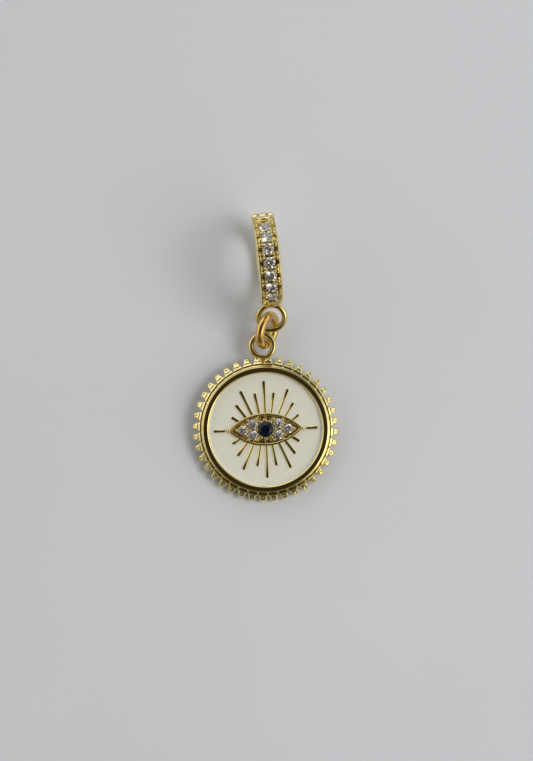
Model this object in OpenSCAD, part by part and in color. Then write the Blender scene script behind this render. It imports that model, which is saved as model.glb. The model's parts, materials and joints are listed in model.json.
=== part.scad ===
// Evil eye pendant: an enamelled disc with a stone-set eye, a jump ring and a round hinged bail.
// All sizes are in millimetres. The pendant lies on its back: +Y runs from the disc up to the
// bail's hinge, +X is the wearer's left as seen from the front, and +Z points up from the surface
// that it lies on. The origin is under the middle of its length and width, on that surface.

/* [Disc] */
// Diameter over the tooth tips
disc_d = 17; // [15.5:0.1:19]
// Number of teeth round the edge
tooth_count = 40; // [32:2:44]
// Radial depth of a tooth
tooth_h = 0.77; // [0.6:0.01:0.9]
// Share of the tooth pitch that is metal at a tooth's root
tooth_root_share = 0.86; // [0.75:0.01:0.92]
// Share of the tooth pitch that is metal at a tooth's tip
tooth_tip_share = 0.4; // [0.3:0.01:0.5]
// Height of the bevel on a tooth's front edge
tooth_bevel = 0.4; // [0.2:0.05:0.55]
// Thickness of the toothed flange
flange_t = 1.15; // [0.9:0.05:1.4]
// Thickness of the metal under the enamel
floor_t = 0.95; // [0.75:0.05:1.1]
// Width of the raised rim between the enamel and the step
rim_w = 0.7; // [0.55:0.05:0.85]
// Height of the rim's crest above the disc's back
rim_h = 1.9; // [1.75:0.05:2.2]
// Width of the low step outside the rim
step_w = 0.26; // [0.15:0.01:0.35]
// Height of the low step above the flange
step_h = 0.2; // [0.1:0.05:0.3]
// Width of the flat land between the step and the tooth roots
land_w = 0.17; // [0.1:0.01:0.25]

/* [Enamel and rays] */
// Depth of the enamel layer
enamel_h = 0.5; // [0.35:0.05:0.6]
// Width of a ray
ray_w = 0.33; // [0.26:0.01:0.4]
// Height of a ray above the enamel
ray_proud = 0.14; // [0.08:0.01:0.2]
// Gap between the ball at each corner of the eye and the level ray beside it
level_ray_gap = 0.12; // [0.1:0.01:0.2]
// Room between a level ray and the rim
level_ray_room = 0.5; // [0.4:0.05:0.7]
// Gap left round each piece that is set into another
fit_gap = 0.03; // [0.02:0.01:0.05]

/* [Eye] */
// Diameter of the dark centre stone
iris_d = 1.8; // [1.6:0.05:2]
// Diameter of the six small stones
eye_stone_d = 1.1; // [1:0.05:1.2]
// Space between the centre stone and its neighbours
iris_space = 0.16; // [0.12:0.01:0.3]
// Space between neighbouring small stones
eye_stone_space = 0.22; // [0.16:0.01:0.3]
// Room between the last small stone and the inner corner of the eye
eye_corner_room = 0.74; // [0.6:0.02:0.9]
// Room between the paired stones and the inside of the lids
eye_side_room = 0.15; // [0.1:0.01:0.2]
// Width of the raised lid round the eye
lid_w = 0.36; // [0.3:0.01:0.45]
// Height of the lid above the enamel
lid_proud = 0.3; // [0.2:0.05:0.4]
// Diameter of the ball at each corner of the eye
corner_ball_d = 0.46; // [0.36:0.02:0.56]
// Diameter of a bead prong in the eye
eye_bead_d = 0.3; // [0.22:0.01:0.34]
// Depth of the small stones' girdles below the lid's top
eye_stone_sink = 0.1; // [0.05:0.01:0.14]
// Depth of the centre stone's girdle below the lid's top
iris_sink = 0.05; // [0:0.01:0.1]
// Depth of the metal between the stones below their girdles
eye_bed_sink = 0.12; // [0.08:0.01:0.16]

/* [Loop and rings] */
// Inner diameter of the loop on top of the disc
loop_in_d = 1.9; // [1.75:0.05:2.2]
// Wire diameter of the loop
loop_wire_d = 0.68; // [0.6:0.02:0.76]
// Distance that the loop's wire reaches inside the tooth tips
loop_bite = 0.44; // [0.36:0.02:0.5]
// Height of the loop's centre above the disc's back
loop_z = 0.75; // [0.6:0.05:0.9]
// Inner diameter of the jump ring
jump_in_d = 2.52; // [2.35:0.02:2.75]
// Wire diameter of the jump ring
jump_wire_d = 1.02; // [0.85:0.02:1.1]
// Inner diameter of the ring under the bail
ring_in_d = 2.44; // [2.25:0.02:2.7]
// Wire diameter of the ring under the bail
ring_wire_d = 0.64; // [0.55:0.02:0.74]
// Distance that the ring is soldered into the bail
ring_bite = 0.22; // [0.16:0.02:0.3]
// Turn of the jump ring about its long direction, in degrees
jump_turn = 63; // [58:1:68]

/* [Bail] */
// Outer diameter of the round bail
bail_d = 10.9; // [10:0.1:12.5]
// Radial thickness of the bail's front half
bail_t = 1.1; // [0.95:0.05:1.25]
// Greatest width of the bail's front half
bail_w = 2.65; // [2.4:0.05:2.9]
// Width of the bail's front face between its edges
bail_face_w = 2.3; // [2.15:0.05:2.4]
// Radial height of the sloped flank beside the front face
bail_slope_h = 0.35; // [0.2:0.05:0.45]
// Width of the gate and of the bail's plain lower end
gate_w = 1.8; // [1.6:0.05:2]
// Radial thickness of the gate
gate_t = 0.95; // [0.8:0.05:1.05]
// Distance that the gate's outer face lies inside the front half's
gate_inset = 0.05; // [0.02:0.01:0.1]
// Chamfer along the gate's edges
gate_chamfer = 0.14; // [0.08:0.01:0.2]
// Lean of the bail to the right, in degrees
bail_roll = 3.2; // [0:0.2:5]
// Turn of the bail to the left, in degrees
bail_yaw = 3.9; // [0:0.1:6]

/* [Bail stones] */
// Diameter of a bail stone
bail_stone_d = 1.35; // [1.25:0.05:1.4]
// Space between neighbouring bail stones
bail_stone_space = 0.17; // [0.12:0.01:0.22]
// Angle of the middle stone round the bail, from its top, in degrees
bail_stone_mid = 96; // [92:1:99]
// Depth of the bail stones' girdles below the bail's front face
bail_stone_sink = 0.12; // [0.08:0.01:0.18]
// Diameter of a bead prong on the bail
bail_bead_d = 0.34; // [0.26:0.01:0.38]
// Diameter of the round pocket beside each bail stone
pocket_d = 0.5; // [0.4:0.02:0.56]
// Depth of the round pocket beside each bail stone
pocket_h = 0.45; // [0.3:0.05:0.55]
// Distance of a pocket's centre outside the edge of its stone
pocket_out = 0.13; // [0.1:0.01:0.16]
// Width of the groove under the header strip
header_groove_w = 0.2; // [0.12:0.02:0.26]
// Depth of the groove under the header strip
header_groove_h = 0.16; // [0.08:0.02:0.24]

/* [Hinge and latch] */
// Angle of the hinge round the bail, from its top, in degrees
hinge_angle = 14; // [10:1:18]
// Diameter of a hinge knuckle
knuckle_d = 1.24; // [1.1:0.02:1.3]
// Width of the gate's middle knuckle
knuckle_w = 0.96; // [0.8:0.02:1.1]
// Diameter of the hinge pin
pin_d = 0.5; // [0.4:0.02:0.56]
// Radial gap between the pin and the fixed knuckles
pin_gap = 0.02; // [0.01:0.01:0.04]
// Radial gap between the pin and the gate's knuckle
hinge_gap = 0.05; // [0.03:0.01:0.08]
// Gap between parts of the hinge that pass each other
pass_gap = 0.08; // [0.05:0.01:0.12]
// Angle from the bail's ring to the gate's free end, in degrees
latch_after_ring = 30; // [26:1:34]
// Width of the latch tongue
tongue_w = 0.8; // [0.6:0.05:0.9]
// Thickness of the latch tongue
tongue_t = 0.32; // [0.24:0.02:0.4]
// Length of the latch tongue
tongue_l = 0.55; // [0.4:0.05:0.65]

/* [Hidden] */
$fn = 64;

// How far a cutting shape runs past the metal that it cuts
past = 0.5;

// Radii round the disc, from outside to inside
disc_r = disc_d / 2;
root_r = disc_r - tooth_h;
step_r = root_r - land_w;
rim_r = step_r - step_w;
enamel_r = rim_r - rim_w;

// The rim's half-round crest is a little wider than its wall
crest_overhang = 0.02;
crest_r = rim_w / 2 + crest_overhang;
crest_z = rim_h - crest_r;

// Heights above the disc's back
enamel_z = floor_t + enamel_h;
ray_z = enamel_z + ray_proud;
lid_z = enamel_z + lid_proud;

// Proportions of a round cut stone, as shares of its diameter
table_share = 0.56;
crown_share = 0.15;
girdle_share = 0.04;
pavilion_share = 0.43;
star_share = 0.5;
lower_share = 0.78;
// Radius of the flat at the bottom of a stone's seat
seat_tip_r = 0.02;

// Centres of the small eye stones: a pair beside the centre stone, then a single one
pair_y = (eye_stone_d + eye_stone_space) / 2;
pair_reach = (iris_d + eye_stone_d) / 2 + iris_space;
pair_x = sqrt(pair_reach * pair_reach - pair_y * pair_y);
single_x = pair_x + sqrt(pow(eye_stone_d + eye_stone_space, 2) - pair_y * pair_y);
eye_places = [
    [-single_x, 0], [-pair_x, pair_y], [-pair_x, -pair_y],
    [pair_x, pair_y], [pair_x, -pair_y], [single_x, 0]
];

// The inside of the eye is a pointed oval that clears the stones
eye_in_x = single_x + eye_stone_d / 2 + eye_corner_room;
eye_in_y = (pair_y + eye_stone_d / 2 + eye_side_room) / (1 - pow(pair_x / eye_in_x, 2));
// The lid is a little wider at the corners than in its middle
lid_corner_share = 1.25;
eye_out_x = eye_in_x + lid_w * lid_corner_share;
eye_out_y = eye_in_y + lid_w;
// The balls sit back from the corners and stand proud of the lid, by shares of their diameter
corner_ball_back = 0.1;
corner_ball_drop = 0.35;
corner_ball_x = eye_out_x - corner_ball_d * corner_ball_back;
corner_ball_z = lid_z - corner_ball_d * corner_ball_drop;

// Heights of the stones' girdles above the disc's back
eye_girdle_z = lid_z - eye_stone_sink;
iris_girdle_z = lid_z - iris_sink;
// Surface that the eye's stones are sunk into
eye_bed_z = eye_girdle_z - eye_bed_sink;

// Bead prongs in one quarter of the eye: the place that each stands beside, then its distance
// from there along and across the eye, as shares of a small stone's diameter
BEAD_BY = 0;
BEAD_ALONG = 1;
BEAD_ACROSS = 2;
bead_table = [
    [[pair_x, 0], 0.36, 0],
    [[pair_x, pair_y], 0.64, -0.01],
    [[single_x, 0], 0.65, 0],
    [[pair_x, pair_y], -0.42, 0.5]
];
eye_beads = [for (b = bead_table) b[BEAD_BY] + eye_stone_d * [b[BEAD_ALONG], b[BEAD_ACROSS]]];
// Height of a bead's centre above the girdle, and the width of its post, as shares of its diameter
bead_lift_share = 0.2;
bead_post_share = 0.9;
// Distance of the centre stone's beads outside its edge, as a share of a bead's diameter, and
// their angles round the stone in one quarter
iris_bead_share = 0.36;
iris_bead_angles = [0, 56, 90];

// Rays in one quarter: the outer end, then where the ray's line meets the upright axis.
// All three columns are shares of the enamel's radius.
RAY_X = 0;
RAY_Y = 1;
RAY_AIM = 2;
rays = [
    [0, 0.864, 0],
    [0.17, 0.65, -0.33],
    [0.422, 0.7, -0.265],
    [0.511, 0.455, -0.25],
    [0.597, 0.238, -0.16]
];
// Inner and outer end of the level ray beside each corner of the eye
level_in_x = corner_ball_x + corner_ball_d / 2 + level_ray_gap;
level_out_x = enamel_r - level_ray_room;
// Share of a ray's width that is flat on top
ray_top_share = 0.4;

// The solder foot of the loop, as shares of the loop's wire
foot_w_share = 1.7;
foot_h_share = 0.8;

// Centre-line radii of the loop and the rings
loop_r = (loop_in_d + loop_wire_d) / 2;
jump_r = (jump_in_d + jump_wire_d) / 2;
ring_r = (ring_in_d + ring_wire_d) / 2;
loop_out_r = loop_r + loop_wire_d / 2;
ring_out_r = ring_r + ring_wire_d / 2;

// Free play of the jump ring's wire in the loop and in the bail's ring
loop_play = (loop_in_d - jump_wire_d) / 2;
ring_play = (ring_in_d - jump_wire_d) / 2;

// From the loop's centre to the centre of the bail's ring, as shares of both outer radii
ring_lean = [0.34, 0.924, 0.252];
// Where the jump ring rests in each hole, as shares of the free play there
loop_rest = [0.77, 0.03, -0.68];
ring_rest = [-0.24, 0.45, -0.34];

function unit(v) = v / norm(v);

// The jump ring, seen from the loop's centre
ring_from_loop = ring_lean * (loop_out_r + ring_out_r);
jump_low_end = loop_rest * loop_play;
jump_high_end = ring_from_loop + ring_rest * ring_play;
jump_from_loop = (jump_low_end + jump_high_end) / 2;
jump_u = unit(jump_high_end - jump_low_end);
jump_level = unit(cross([0, 0, 1], jump_u));
jump_v = -cos(jump_turn) * jump_level - sin(jump_turn) * cross(jump_u, jump_level);
jump_axis = cross(jump_u, jump_v);

// The jump ring's wire touches the surface below, which lifts the disc's loop
loop_height = jump_r * sqrt(1 - pow(jump_axis[2], 2)) + jump_wire_d / 2 - jump_from_loop[2];
loop_reach = disc_r + loop_out_r - loop_bite;
disc_lift = asin((loop_height - loop_z) / (disc_r + loop_reach));

// The bail stands on the outer face of its gate
bail_r = bail_d / 2;
gate_r = bail_r - gate_inset;
gate_face_w = gate_w - 2 * gate_chamfer;
bail_height = gate_r * cos(bail_roll) + gate_face_w / 2 * sin(bail_roll);
ring_reach = bail_r - ring_bite + ring_out_r;

// Places along the pendant, counted from the disc's lowest edge
loop_y = (disc_r + loop_reach) * cos(disc_lift) - loop_z * sin(disc_lift);
loop_at = [0, loop_y, loop_height];
jump_at = loop_at + jump_from_loop;
ring_at = loop_at + ring_from_loop;
// Angle that the bail's ring hangs below the level of the bail's centre
ring_drop = asin((bail_height - ring_at[2]) / (ring_reach * cos(bail_roll)));

// A point of the bail's own frame, turned as the bail is
function lean(p) = [
    p[0] * cos(bail_roll) + p[2] * sin(bail_roll),
    p[1],
    p[2] * cos(bail_roll) - p[0] * sin(bail_roll)
];
function turn(p) = [
    p[0] * cos(bail_yaw) - p[1] * sin(bail_yaw),
    p[0] * sin(bail_yaw) + p[1] * cos(bail_yaw),
    p[2]
];
bail_at = ring_at + turn(lean([0, ring_reach * cos(ring_drop), ring_reach * sin(ring_drop)]));
// The origin lies under the middle of the whole length
mid_y = (bail_at[1] + bail_r) / 2;

// Angles round the bail start at its top and run over the front
ring_angle = 180 + ring_drop;
latch_angle = ring_angle + latch_after_ring;
stone_r = bail_r - bail_stone_sink;
stone_step = 2 * asin((bail_stone_d + bail_stone_space) / 2 / stone_r);
function stone_angle(i) = bail_stone_mid + (i - 3) * stone_step;
// The wide front ends a little after the last stone, and the header groove lies above the first
wide_end_steps = 1.3;
header_steps = 0.74;
wide_end = stone_angle(6) + stone_step * wide_end_steps;
header_angle = stone_angle(0) - stone_step * header_steps;
// Four beads hold each bail stone: their distance from its centre across the bail, as a share of
// its diameter, and along the bail, as a share of the step between stones
bead_side_share = 0.42;
bead_along_steps = 0.38;
// Degrees that the front's sweeps run past the hinge and the latch, where a plane then trims them
trim_overrun = 20;
// Degrees that the wide and the plain sweep of the front share
sweep_overlap = 8;

// The hinge axis, a little outside the middle of the bail's thickness, and the line to the latch
hinge_out = 0.02;
hinge_r = bail_r - bail_t / 2 + hinge_out;
hinge_at = hinge_r * [cos(hinge_angle), sin(hinge_angle)];
latch_r = bail_r - gate_inset - gate_t / 2;
latch_at = latch_r * [cos(latch_angle), sin(latch_angle)];
split_angle = atan2(hinge_at[1] - latch_at[1], hinge_at[0] - latch_at[0]);
fixed_knuckle_x = knuckle_w / 2 + pass_gap;

// A round brilliant with its girdle's middle at the origin and its table upwards
function stone_ring(n, turn_by, r, z) = [
    for (i = [0:n - 1]) [r * cos(360 * i / n + turn_by), r * sin(360 * i / n + turn_by), z]
];
module cut_stone(d) {
    r = d / 2;
    table_r = r * table_share;
    table_z = d * (crown_share + girdle_share / 2);
    edge_z = d * girdle_share / 2;
    point_z = -d * (pavilion_share + girdle_share / 2);
    star_r = table_r + (r - table_r) * star_share;
    crown_slope = (table_z - edge_z) / (r - table_r);
    star_z = table_z - (star_r * cos(22.5) - table_r) * crown_slope;
    lower_r = r * (1 - lower_share);
    lower_z = point_z + lower_r * cos(22.5) * (-edge_z - point_z) / r;
    points = concat(
        stone_ring(8, 0, table_r, table_z),
        stone_ring(8, 22.5, star_r, star_z),
        stone_ring(16, 0, r, edge_z),
        stone_ring(16, 0, r, -edge_z),
        stone_ring(8, 22.5, lower_r, lower_z),
        [[0, 0, point_z]]
    );
    star = 8;
    top_edge = 16;
    low_edge = 32;
    lower = 48;
    tip = 56;
    faces = concat(
        [[for (i = [7:-1:0]) i]],
        [for (i = [0:7]) [i, (i + 1) % 8, star + i]],
        [for (i = [0:7]) [i, star + i, top_edge + 2 * i, star + (i + 7) % 8]],
        [for (i = [0:7]) [star + i, top_edge + 2 * i + 1, top_edge + 2 * i]],
        [for (i = [0:7]) [star + i, top_edge + (2 * i + 2) % 16, top_edge + 2 * i + 1]],
        [for (i = [0:15]) [top_edge + i, top_edge + (i + 1) % 16, low_edge + (i + 1) % 16, low_edge + i]],
        [for (i = [0:7]) [lower + i, low_edge + 2 * i, low_edge + 2 * i + 1]],
        [for (i = [0:7]) [lower + i, low_edge + 2 * i + 1, low_edge + (2 * i + 2) % 16]],
        [for (i = [0:7]) [tip, lower + (i + 7) % 8, low_edge + 2 * i, lower + i]]
    );
    polyhedron(points, faces);
}

// The conical seat that a cut stone drops into, with the fitting gap all round
module stone_seat(d) {
    depth = d * (pavilion_share + girdle_share / 2);
    seat_r = d / 2 + fit_gap;
    tip_z = -depth - fit_gap * 2;
    translate([0, 0, tip_z]) cylinder(h = -tip_z - d * girdle_share / 2, r1 = seat_tip_r, r2 = seat_r);
    translate([0, 0, -d * girdle_share / 2 - fit_gap]) cylinder(h = d, r = seat_r);
}

module ring_of(r, wire_d) {
    rotate_extrude() translate([r, 0]) circle(d = wire_d);
}

// Moves the origin of the disc's own frame, at the middle of its back, into place
module at_disc() {
    translate([0, -mid_y, 0]) rotate([disc_lift, 0, 0]) translate([0, disc_r, 0]) children();
}

// Moves the origin of the bail's own frame, at its centre, into place
module at_bail() {
    translate(bail_at - [0, mid_y, 0]) rotate([0, bail_roll, bail_yaw]) children();
}

// Turns a ring's plane into the bail's: X then points to its top and Y to its front
module round_bail() {
    at_bail() rotate([90, 0, 90]) children();
}

// A place on the bail's front at an angle and radius, with Z pointing outwards there and Y
// pointing back to its top
module on_bail(angle, r) {
    at_bail() rotate([-90 + angle, 0, 0]) translate([0, 0, r]) children();
}

// The pointed oval between two equal arcs
module pointed_oval(half_l, half_h, z0, z1) {
    arc_r = (half_l * half_l + half_h * half_h) / (2 * half_h);
    intersection() {
        translate([0, half_h - arc_r, z0]) cylinder(h = z1 - z0, r = arc_r, $fn = 128);
        translate([0, arc_r - half_h, z0]) cylinder(h = z1 - z0, r = arc_r, $fn = 128);
    }
}

// The toothed outline of the flange
module tooth_outline() {
    pitch = 360 / tooth_count;
    root = pitch * tooth_root_share / 2;
    tip = pitch * tooth_tip_share / 2;
    polygon([
        for (i = [0:tooth_count - 1])
            for (corner = [[root_r, -root], [disc_r, -tip], [disc_r, tip], [root_r, root]])
                corner[0] * [sin((i + 0.5) * pitch + corner[1]), cos((i + 0.5) * pitch + corner[1])]
    ]);
}

// The flange with the bevel across its teeth
module flange() {
    bevel_low = flange_t - tooth_bevel;
    intersection() {
        linear_extrude(flange_t) tooth_outline();
        rotate_extrude($fn = 128) polygon([
            [0, 0], [disc_r + past, 0], [disc_r + past, bevel_low - past * tooth_bevel / tooth_h],
            [root_r, flange_t], [0, flange_t]
        ]);
    }
}

module rim() {
    rotate_extrude($fn = 128) polygon([
        [enamel_r, floor_t / 2], [rim_r, floor_t / 2], [rim_r, crest_z], [enamel_r, crest_z]
    ]);
    rotate_extrude($fn = 128) translate([rim_r - rim_w / 2, crest_z]) circle(r = crest_r, $fn = 32);
    rotate_extrude($fn = 128) polygon([
        [rim_r - rim_w / 2, flange_t / 2], [step_r, flange_t / 2],
        [step_r, flange_t + step_h / 2], [step_r - step_h / 2, flange_t + step_h],
        [rim_r - rim_w / 2, flange_t + step_h]
    ]);
}

// One ray as a prism from its outer end to its inner end; grow widens it for its slot
module ray(outer_end, inner_end, z0, z1, grow) {
    run = outer_end - inner_end;
    half = ray_w / 2 + grow;
    top_half = grow > 0 ? half : half * ray_top_share;
    shoulder_z = grow > 0 ? z1 : enamel_z;
    translate([inner_end[0], inner_end[1], 0])
        rotate([90, 0, atan2(run[1], run[0]) - 90])
            translate([0, 0, -norm(run) - grow])
                linear_extrude(norm(run) + 2 * grow)
                    polygon([[-half, z0], [half, z0], [half, shoulder_z], [top_half, z1],
                        [-top_half, z1], [-half, shoulder_z]]);
}

module all_rays(z0, z1, grow) {
    difference() {
        for (r = rays) {
            outer_end = enamel_r * [r[RAY_X], r[RAY_Y]];
            run = outer_end - enamel_r * [0, r[RAY_AIM]];
            // The ray starts where its line is level with the middle of the eye's lid
            start_y = min(eye_in_y, outer_end[1]) * 0.5;
            inner_end = [outer_end[0] - run[0] * (outer_end[1] - start_y) / run[1], start_y];
            for (side_x = r[RAY_X] > 0 ? [-1, 1] : [1])
                for (side_y = [-1, 1])
                    ray([side_x * outer_end[0], side_y * outer_end[1]],
                        [side_x * inner_end[0], side_y * inner_end[1]], z0, z1, grow);
        }
        pointed_oval(eye_in_x + lid_w / 2, eye_in_y + lid_w / 2, z0 - past, z1 + past);
    }
    for (side = [-1, 1])
        ray([side * level_out_x, 0], [side * level_in_x, 0], z0, z1, grow);
}

// The balls at the corners of the eye stand a little above the lid
module corner_balls(d) {
    for (side = [-1, 1])
        translate([side * corner_ball_x, 0, corner_ball_z]) sphere(d = d, $fn = 32);
}

module eye_frame() {
    difference() {
        pointed_oval(eye_out_x, eye_out_y, floor_t / 2, lid_z);
        pointed_oval(eye_in_x, eye_in_y, eye_bed_z, lid_z + past);
    }
    corner_balls(corner_ball_d);
}

// A ball on a post, beside a stone whose girdle has a given height
module bead_prong(girdle_z) {
    bead_z = girdle_z + eye_bead_d * bead_lift_share;
    translate([0, 0, floor_t]) cylinder(h = bead_z - floor_t, d = eye_bead_d * bead_post_share, $fn = 24);
    translate([0, 0, bead_z]) sphere(d = eye_bead_d, $fn = 24);
}

module eye_prongs() {
    for (b = eye_beads)
        for (side_x = [-1, 1])
            for (side_y = b[1] > 0 ? [-1, 1] : [1])
                translate([side_x * b[0], side_y * b[1], 0]) bead_prong(eye_girdle_z);
    iris_reach = iris_d / 2 + eye_bead_d * iris_bead_share;
    for (a = iris_bead_angles)
        for (side_x = a < 90 ? [-1, 1] : [1])
            for (side_y = a > 0 ? [-1, 1] : [1])
                translate([side_x * iris_reach * cos(a), side_y * iris_reach * sin(a), 0])
                    bead_prong(iris_girdle_z);
}

// The loop at the disc's top, with the solder foot between its wire and the flange
module disc_loop() {
    foot_w = loop_wire_d * foot_w_share;
    foot_h = loop_wire_d * foot_h_share;
    foot_y = root_r - land_w;
    translate([0, loop_reach, loop_z]) ring_of(loop_r, loop_wire_d);
    translate([-foot_w / 2, foot_y, loop_z - foot_h / 2])
        cube([foot_w, loop_reach - loop_r - foot_y, foot_h]);
}

module medallion() {
    color([0.83, 0.69, 0.36]) at_disc() {
        difference() {
            union() {
                difference() {
                    union() {
                        flange();
                        rim();
                        disc_loop();
                    }
                    translate([0, 0, floor_t]) cylinder(h = rim_h, r = enamel_r, $fn = 128);
                }
                all_rays(floor_t / 2, ray_z, 0);
                eye_frame();
                eye_prongs();
            }
            for (p = eye_places)
                translate([p[0], p[1], eye_girdle_z]) stone_seat(eye_stone_d);
            translate([0, 0, iris_girdle_z]) stone_seat(iris_d);
        }
    }
}

module enamel() {
    color([0.93, 0.91, 0.84]) at_disc() {
        difference() {
            translate([0, 0, floor_t + fit_gap])
                cylinder(h = enamel_h - fit_gap, r = enamel_r - fit_gap - crest_overhang, $fn = 128);
            all_rays(floor_t - past, enamel_z + past, fit_gap);
            pointed_oval(eye_out_x + fit_gap * 2, eye_out_y + fit_gap, floor_t - past, enamel_z + past);
            corner_balls(corner_ball_d + 2 * fit_gap);
        }
    }
}

module iris_stone() {
    color([0.05, 0.06, 0.16]) at_disc() translate([0, 0, iris_girdle_z]) cut_stone(iris_d);
}

module eye_stone(i) {
    color([0.86, 0.87, 0.93])
        at_disc() translate([eye_places[i][0], eye_places[i][1], eye_girdle_z]) cut_stone(eye_stone_d);
}

module jump_ring() {
    jump_frame = [
        [jump_u[0], jump_v[0], jump_axis[0], jump_at[0]],
        [jump_u[1], jump_v[1], jump_axis[1], jump_at[1] - mid_y],
        [jump_u[2], jump_v[2], jump_axis[2], jump_at[2]],
        [0, 0, 0, 1]
    ];
    color([0.86, 0.70, 0.42]) multmatrix(jump_frame) ring_of(jump_r, jump_wire_d);
}

// The section of the bail's front, with X as the radius and Y across its width
module front_section() {
    inner_r = bail_r - bail_t;
    edge = (bail_w - bail_face_w) / 2;
    polygon([
        [inner_r, -bail_face_w / 2], [inner_r + edge, -bail_w / 2], [bail_r - bail_slope_h, -bail_w / 2],
        [bail_r, -bail_face_w / 2], [bail_r, bail_face_w / 2], [bail_r - bail_slope_h, bail_w / 2],
        [inner_r + edge, bail_w / 2], [inner_r, bail_face_w / 2]
    ]);
}

// The section of the gate and of the bail's plain lower end
module gate_section() {
    inner_r = gate_r - gate_t;
    half = gate_w / 2;
    c = gate_chamfer;
    polygon([
        [inner_r, c - half], [inner_r + c, -half], [gate_r - c, -half], [gate_r, c - half],
        [gate_r, half - c], [gate_r - c, half], [inner_r + c, half], [inner_r, half - c]
    ]);
}

// The half space in front of the plane through the hinge axis and the latch, in the ring's plane
module front_side(shift) {
    big = 3 * bail_d;
    translate([hinge_at[0], hinge_at[1], 0]) rotate([0, 0, split_angle])
        translate([-big / 2, shift, -big / 2]) cube([big, big, big]);
}

// The round space that a knuckle and its gap take up, between two places across the width
module knuckle_space(x0, x1, gap) {
    translate([hinge_at[0], hinge_at[1], x0]) cylinder(h = x1 - x0, d = knuckle_d + 2 * gap, $fn = 48);
}

module latch_tongue(gap) {
    translate([latch_at[0], latch_at[1], 0]) rotate([0, 0, split_angle])
        translate([-tongue_t / 2 - gap, -tongue_l, -tongue_w / 2 - gap])
            cube([tongue_t + 2 * gap, 2 * tongue_l + gap, tongue_w + 2 * gap]);
}

module bail_front() {
    pocket_x = bail_stone_d / 2 + pocket_out;
    color([0.83, 0.69, 0.36]) {
        difference() {
            union() {
                difference() {
                    round_bail() intersection() {
                        union() {
                            rotate([0, 0, hinge_angle - trim_overrun])
                                rotate_extrude(angle = wide_end - hinge_angle + trim_overrun, $fn = 128)
                                    front_section();
                            rotate([0, 0, wide_end - sweep_overlap])
                                rotate_extrude(angle = latch_angle + trim_overrun - wide_end, $fn = 128)
                                    gate_section();
                        }
                        front_side(0);
                    }
                    // Room for the gate's knuckle and for the latch tongue
                    round_bail() knuckle_space(-fixed_knuckle_x, fixed_knuckle_x, pass_gap);
                    round_bail() latch_tongue(pass_gap);
                    on_bail(header_angle, bail_r - header_groove_h)
                        translate([-bail_w / 2 - past, -header_groove_w / 2, 0])
                            cube([bail_w + 2 * past, header_groove_w, past]);
                }
                // The two fixed knuckles
                round_bail() knuckle_space(fixed_knuckle_x, bail_w / 2, 0);
                round_bail() knuckle_space(-bail_w / 2, -fixed_knuckle_x, 0);
                // The ring that carries the jump ring, and its solder foot
                on_bail(ring_angle, ring_reach) rotate([90, 0, 0]) ring_of(ring_r, ring_wire_d);
                on_bail(ring_angle, bail_r - gate_inset - gate_t / 2)
                    cylinder(h = ring_reach - ring_r - bail_r + gate_inset + gate_t / 2, d = gate_t, $fn = 32);
                for (i = [0:6])
                    for (side = [-1, 1])
                        for (along = [-1, 1])
                            on_bail(stone_angle(i + along * bead_along_steps), bail_r)
                                translate([side * bail_stone_d * bead_side_share, 0, 0])
                                    sphere(d = bail_bead_d, $fn = 24);
            }
            for (i = [0:6]) {
                on_bail(stone_angle(i), stone_r) stone_seat(bail_stone_d);
                for (side = [-1, 1])
                    on_bail(stone_angle(i), bail_r - pocket_h)
                        translate([side * pocket_x, 0, 0]) cylinder(h = pocket_h + past, d = pocket_d, $fn = 24);
            }
            round_bail() translate([hinge_at[0], hinge_at[1], -bail_w])
                cylinder(h = 2 * bail_w, d = pin_d + 2 * pin_gap, $fn = 32);
        }
    }
}

module bail_gate() {
    color([0.83, 0.69, 0.36]) round_bail() {
        difference() {
            union() {
                difference() {
                    rotate_extrude($fn = 128) gate_section();
                    front_side(-pass_gap / 2);
                    knuckle_space(fixed_knuckle_x - pass_gap, bail_w, pass_gap);
                    knuckle_space(-bail_w, pass_gap - fixed_knuckle_x, pass_gap);
                }
                knuckle_space(-knuckle_w / 2, knuckle_w / 2, 0);
                latch_tongue(0);
            }
            translate([hinge_at[0], hinge_at[1], -bail_w])
                cylinder(h = 2 * bail_w, d = pin_d + 2 * hinge_gap, $fn = 32);
        }
    }
}

module hinge_pin() {
    color([0.80, 0.66, 0.34]) round_bail()
        translate([hinge_at[0], hinge_at[1], -bail_w / 2]) cylinder(h = bail_w, d = pin_d, $fn = 32);
}

module bail_stone(i) {
    color([0.86, 0.87, 0.93]) on_bail(stone_angle(i), stone_r) cut_stone(bail_stone_d);
}

medallion();
enamel();
iris_stone();
for (i = [0:5])
    eye_stone(i);
jump_ring();
bail_front();
bail_gate();
hinge_pin();
for (i = [0:6])
    bail_stone(i);
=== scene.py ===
"""Evil eye pendant: finished surfaces, materials and light round the solid model.

Lengths inside the functions are millimetres in a piece's own frame. placed() turns them into
metres in the shared frame. Angles are degrees.
"""
import json
from functools import partial
from types import SimpleNamespace

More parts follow.
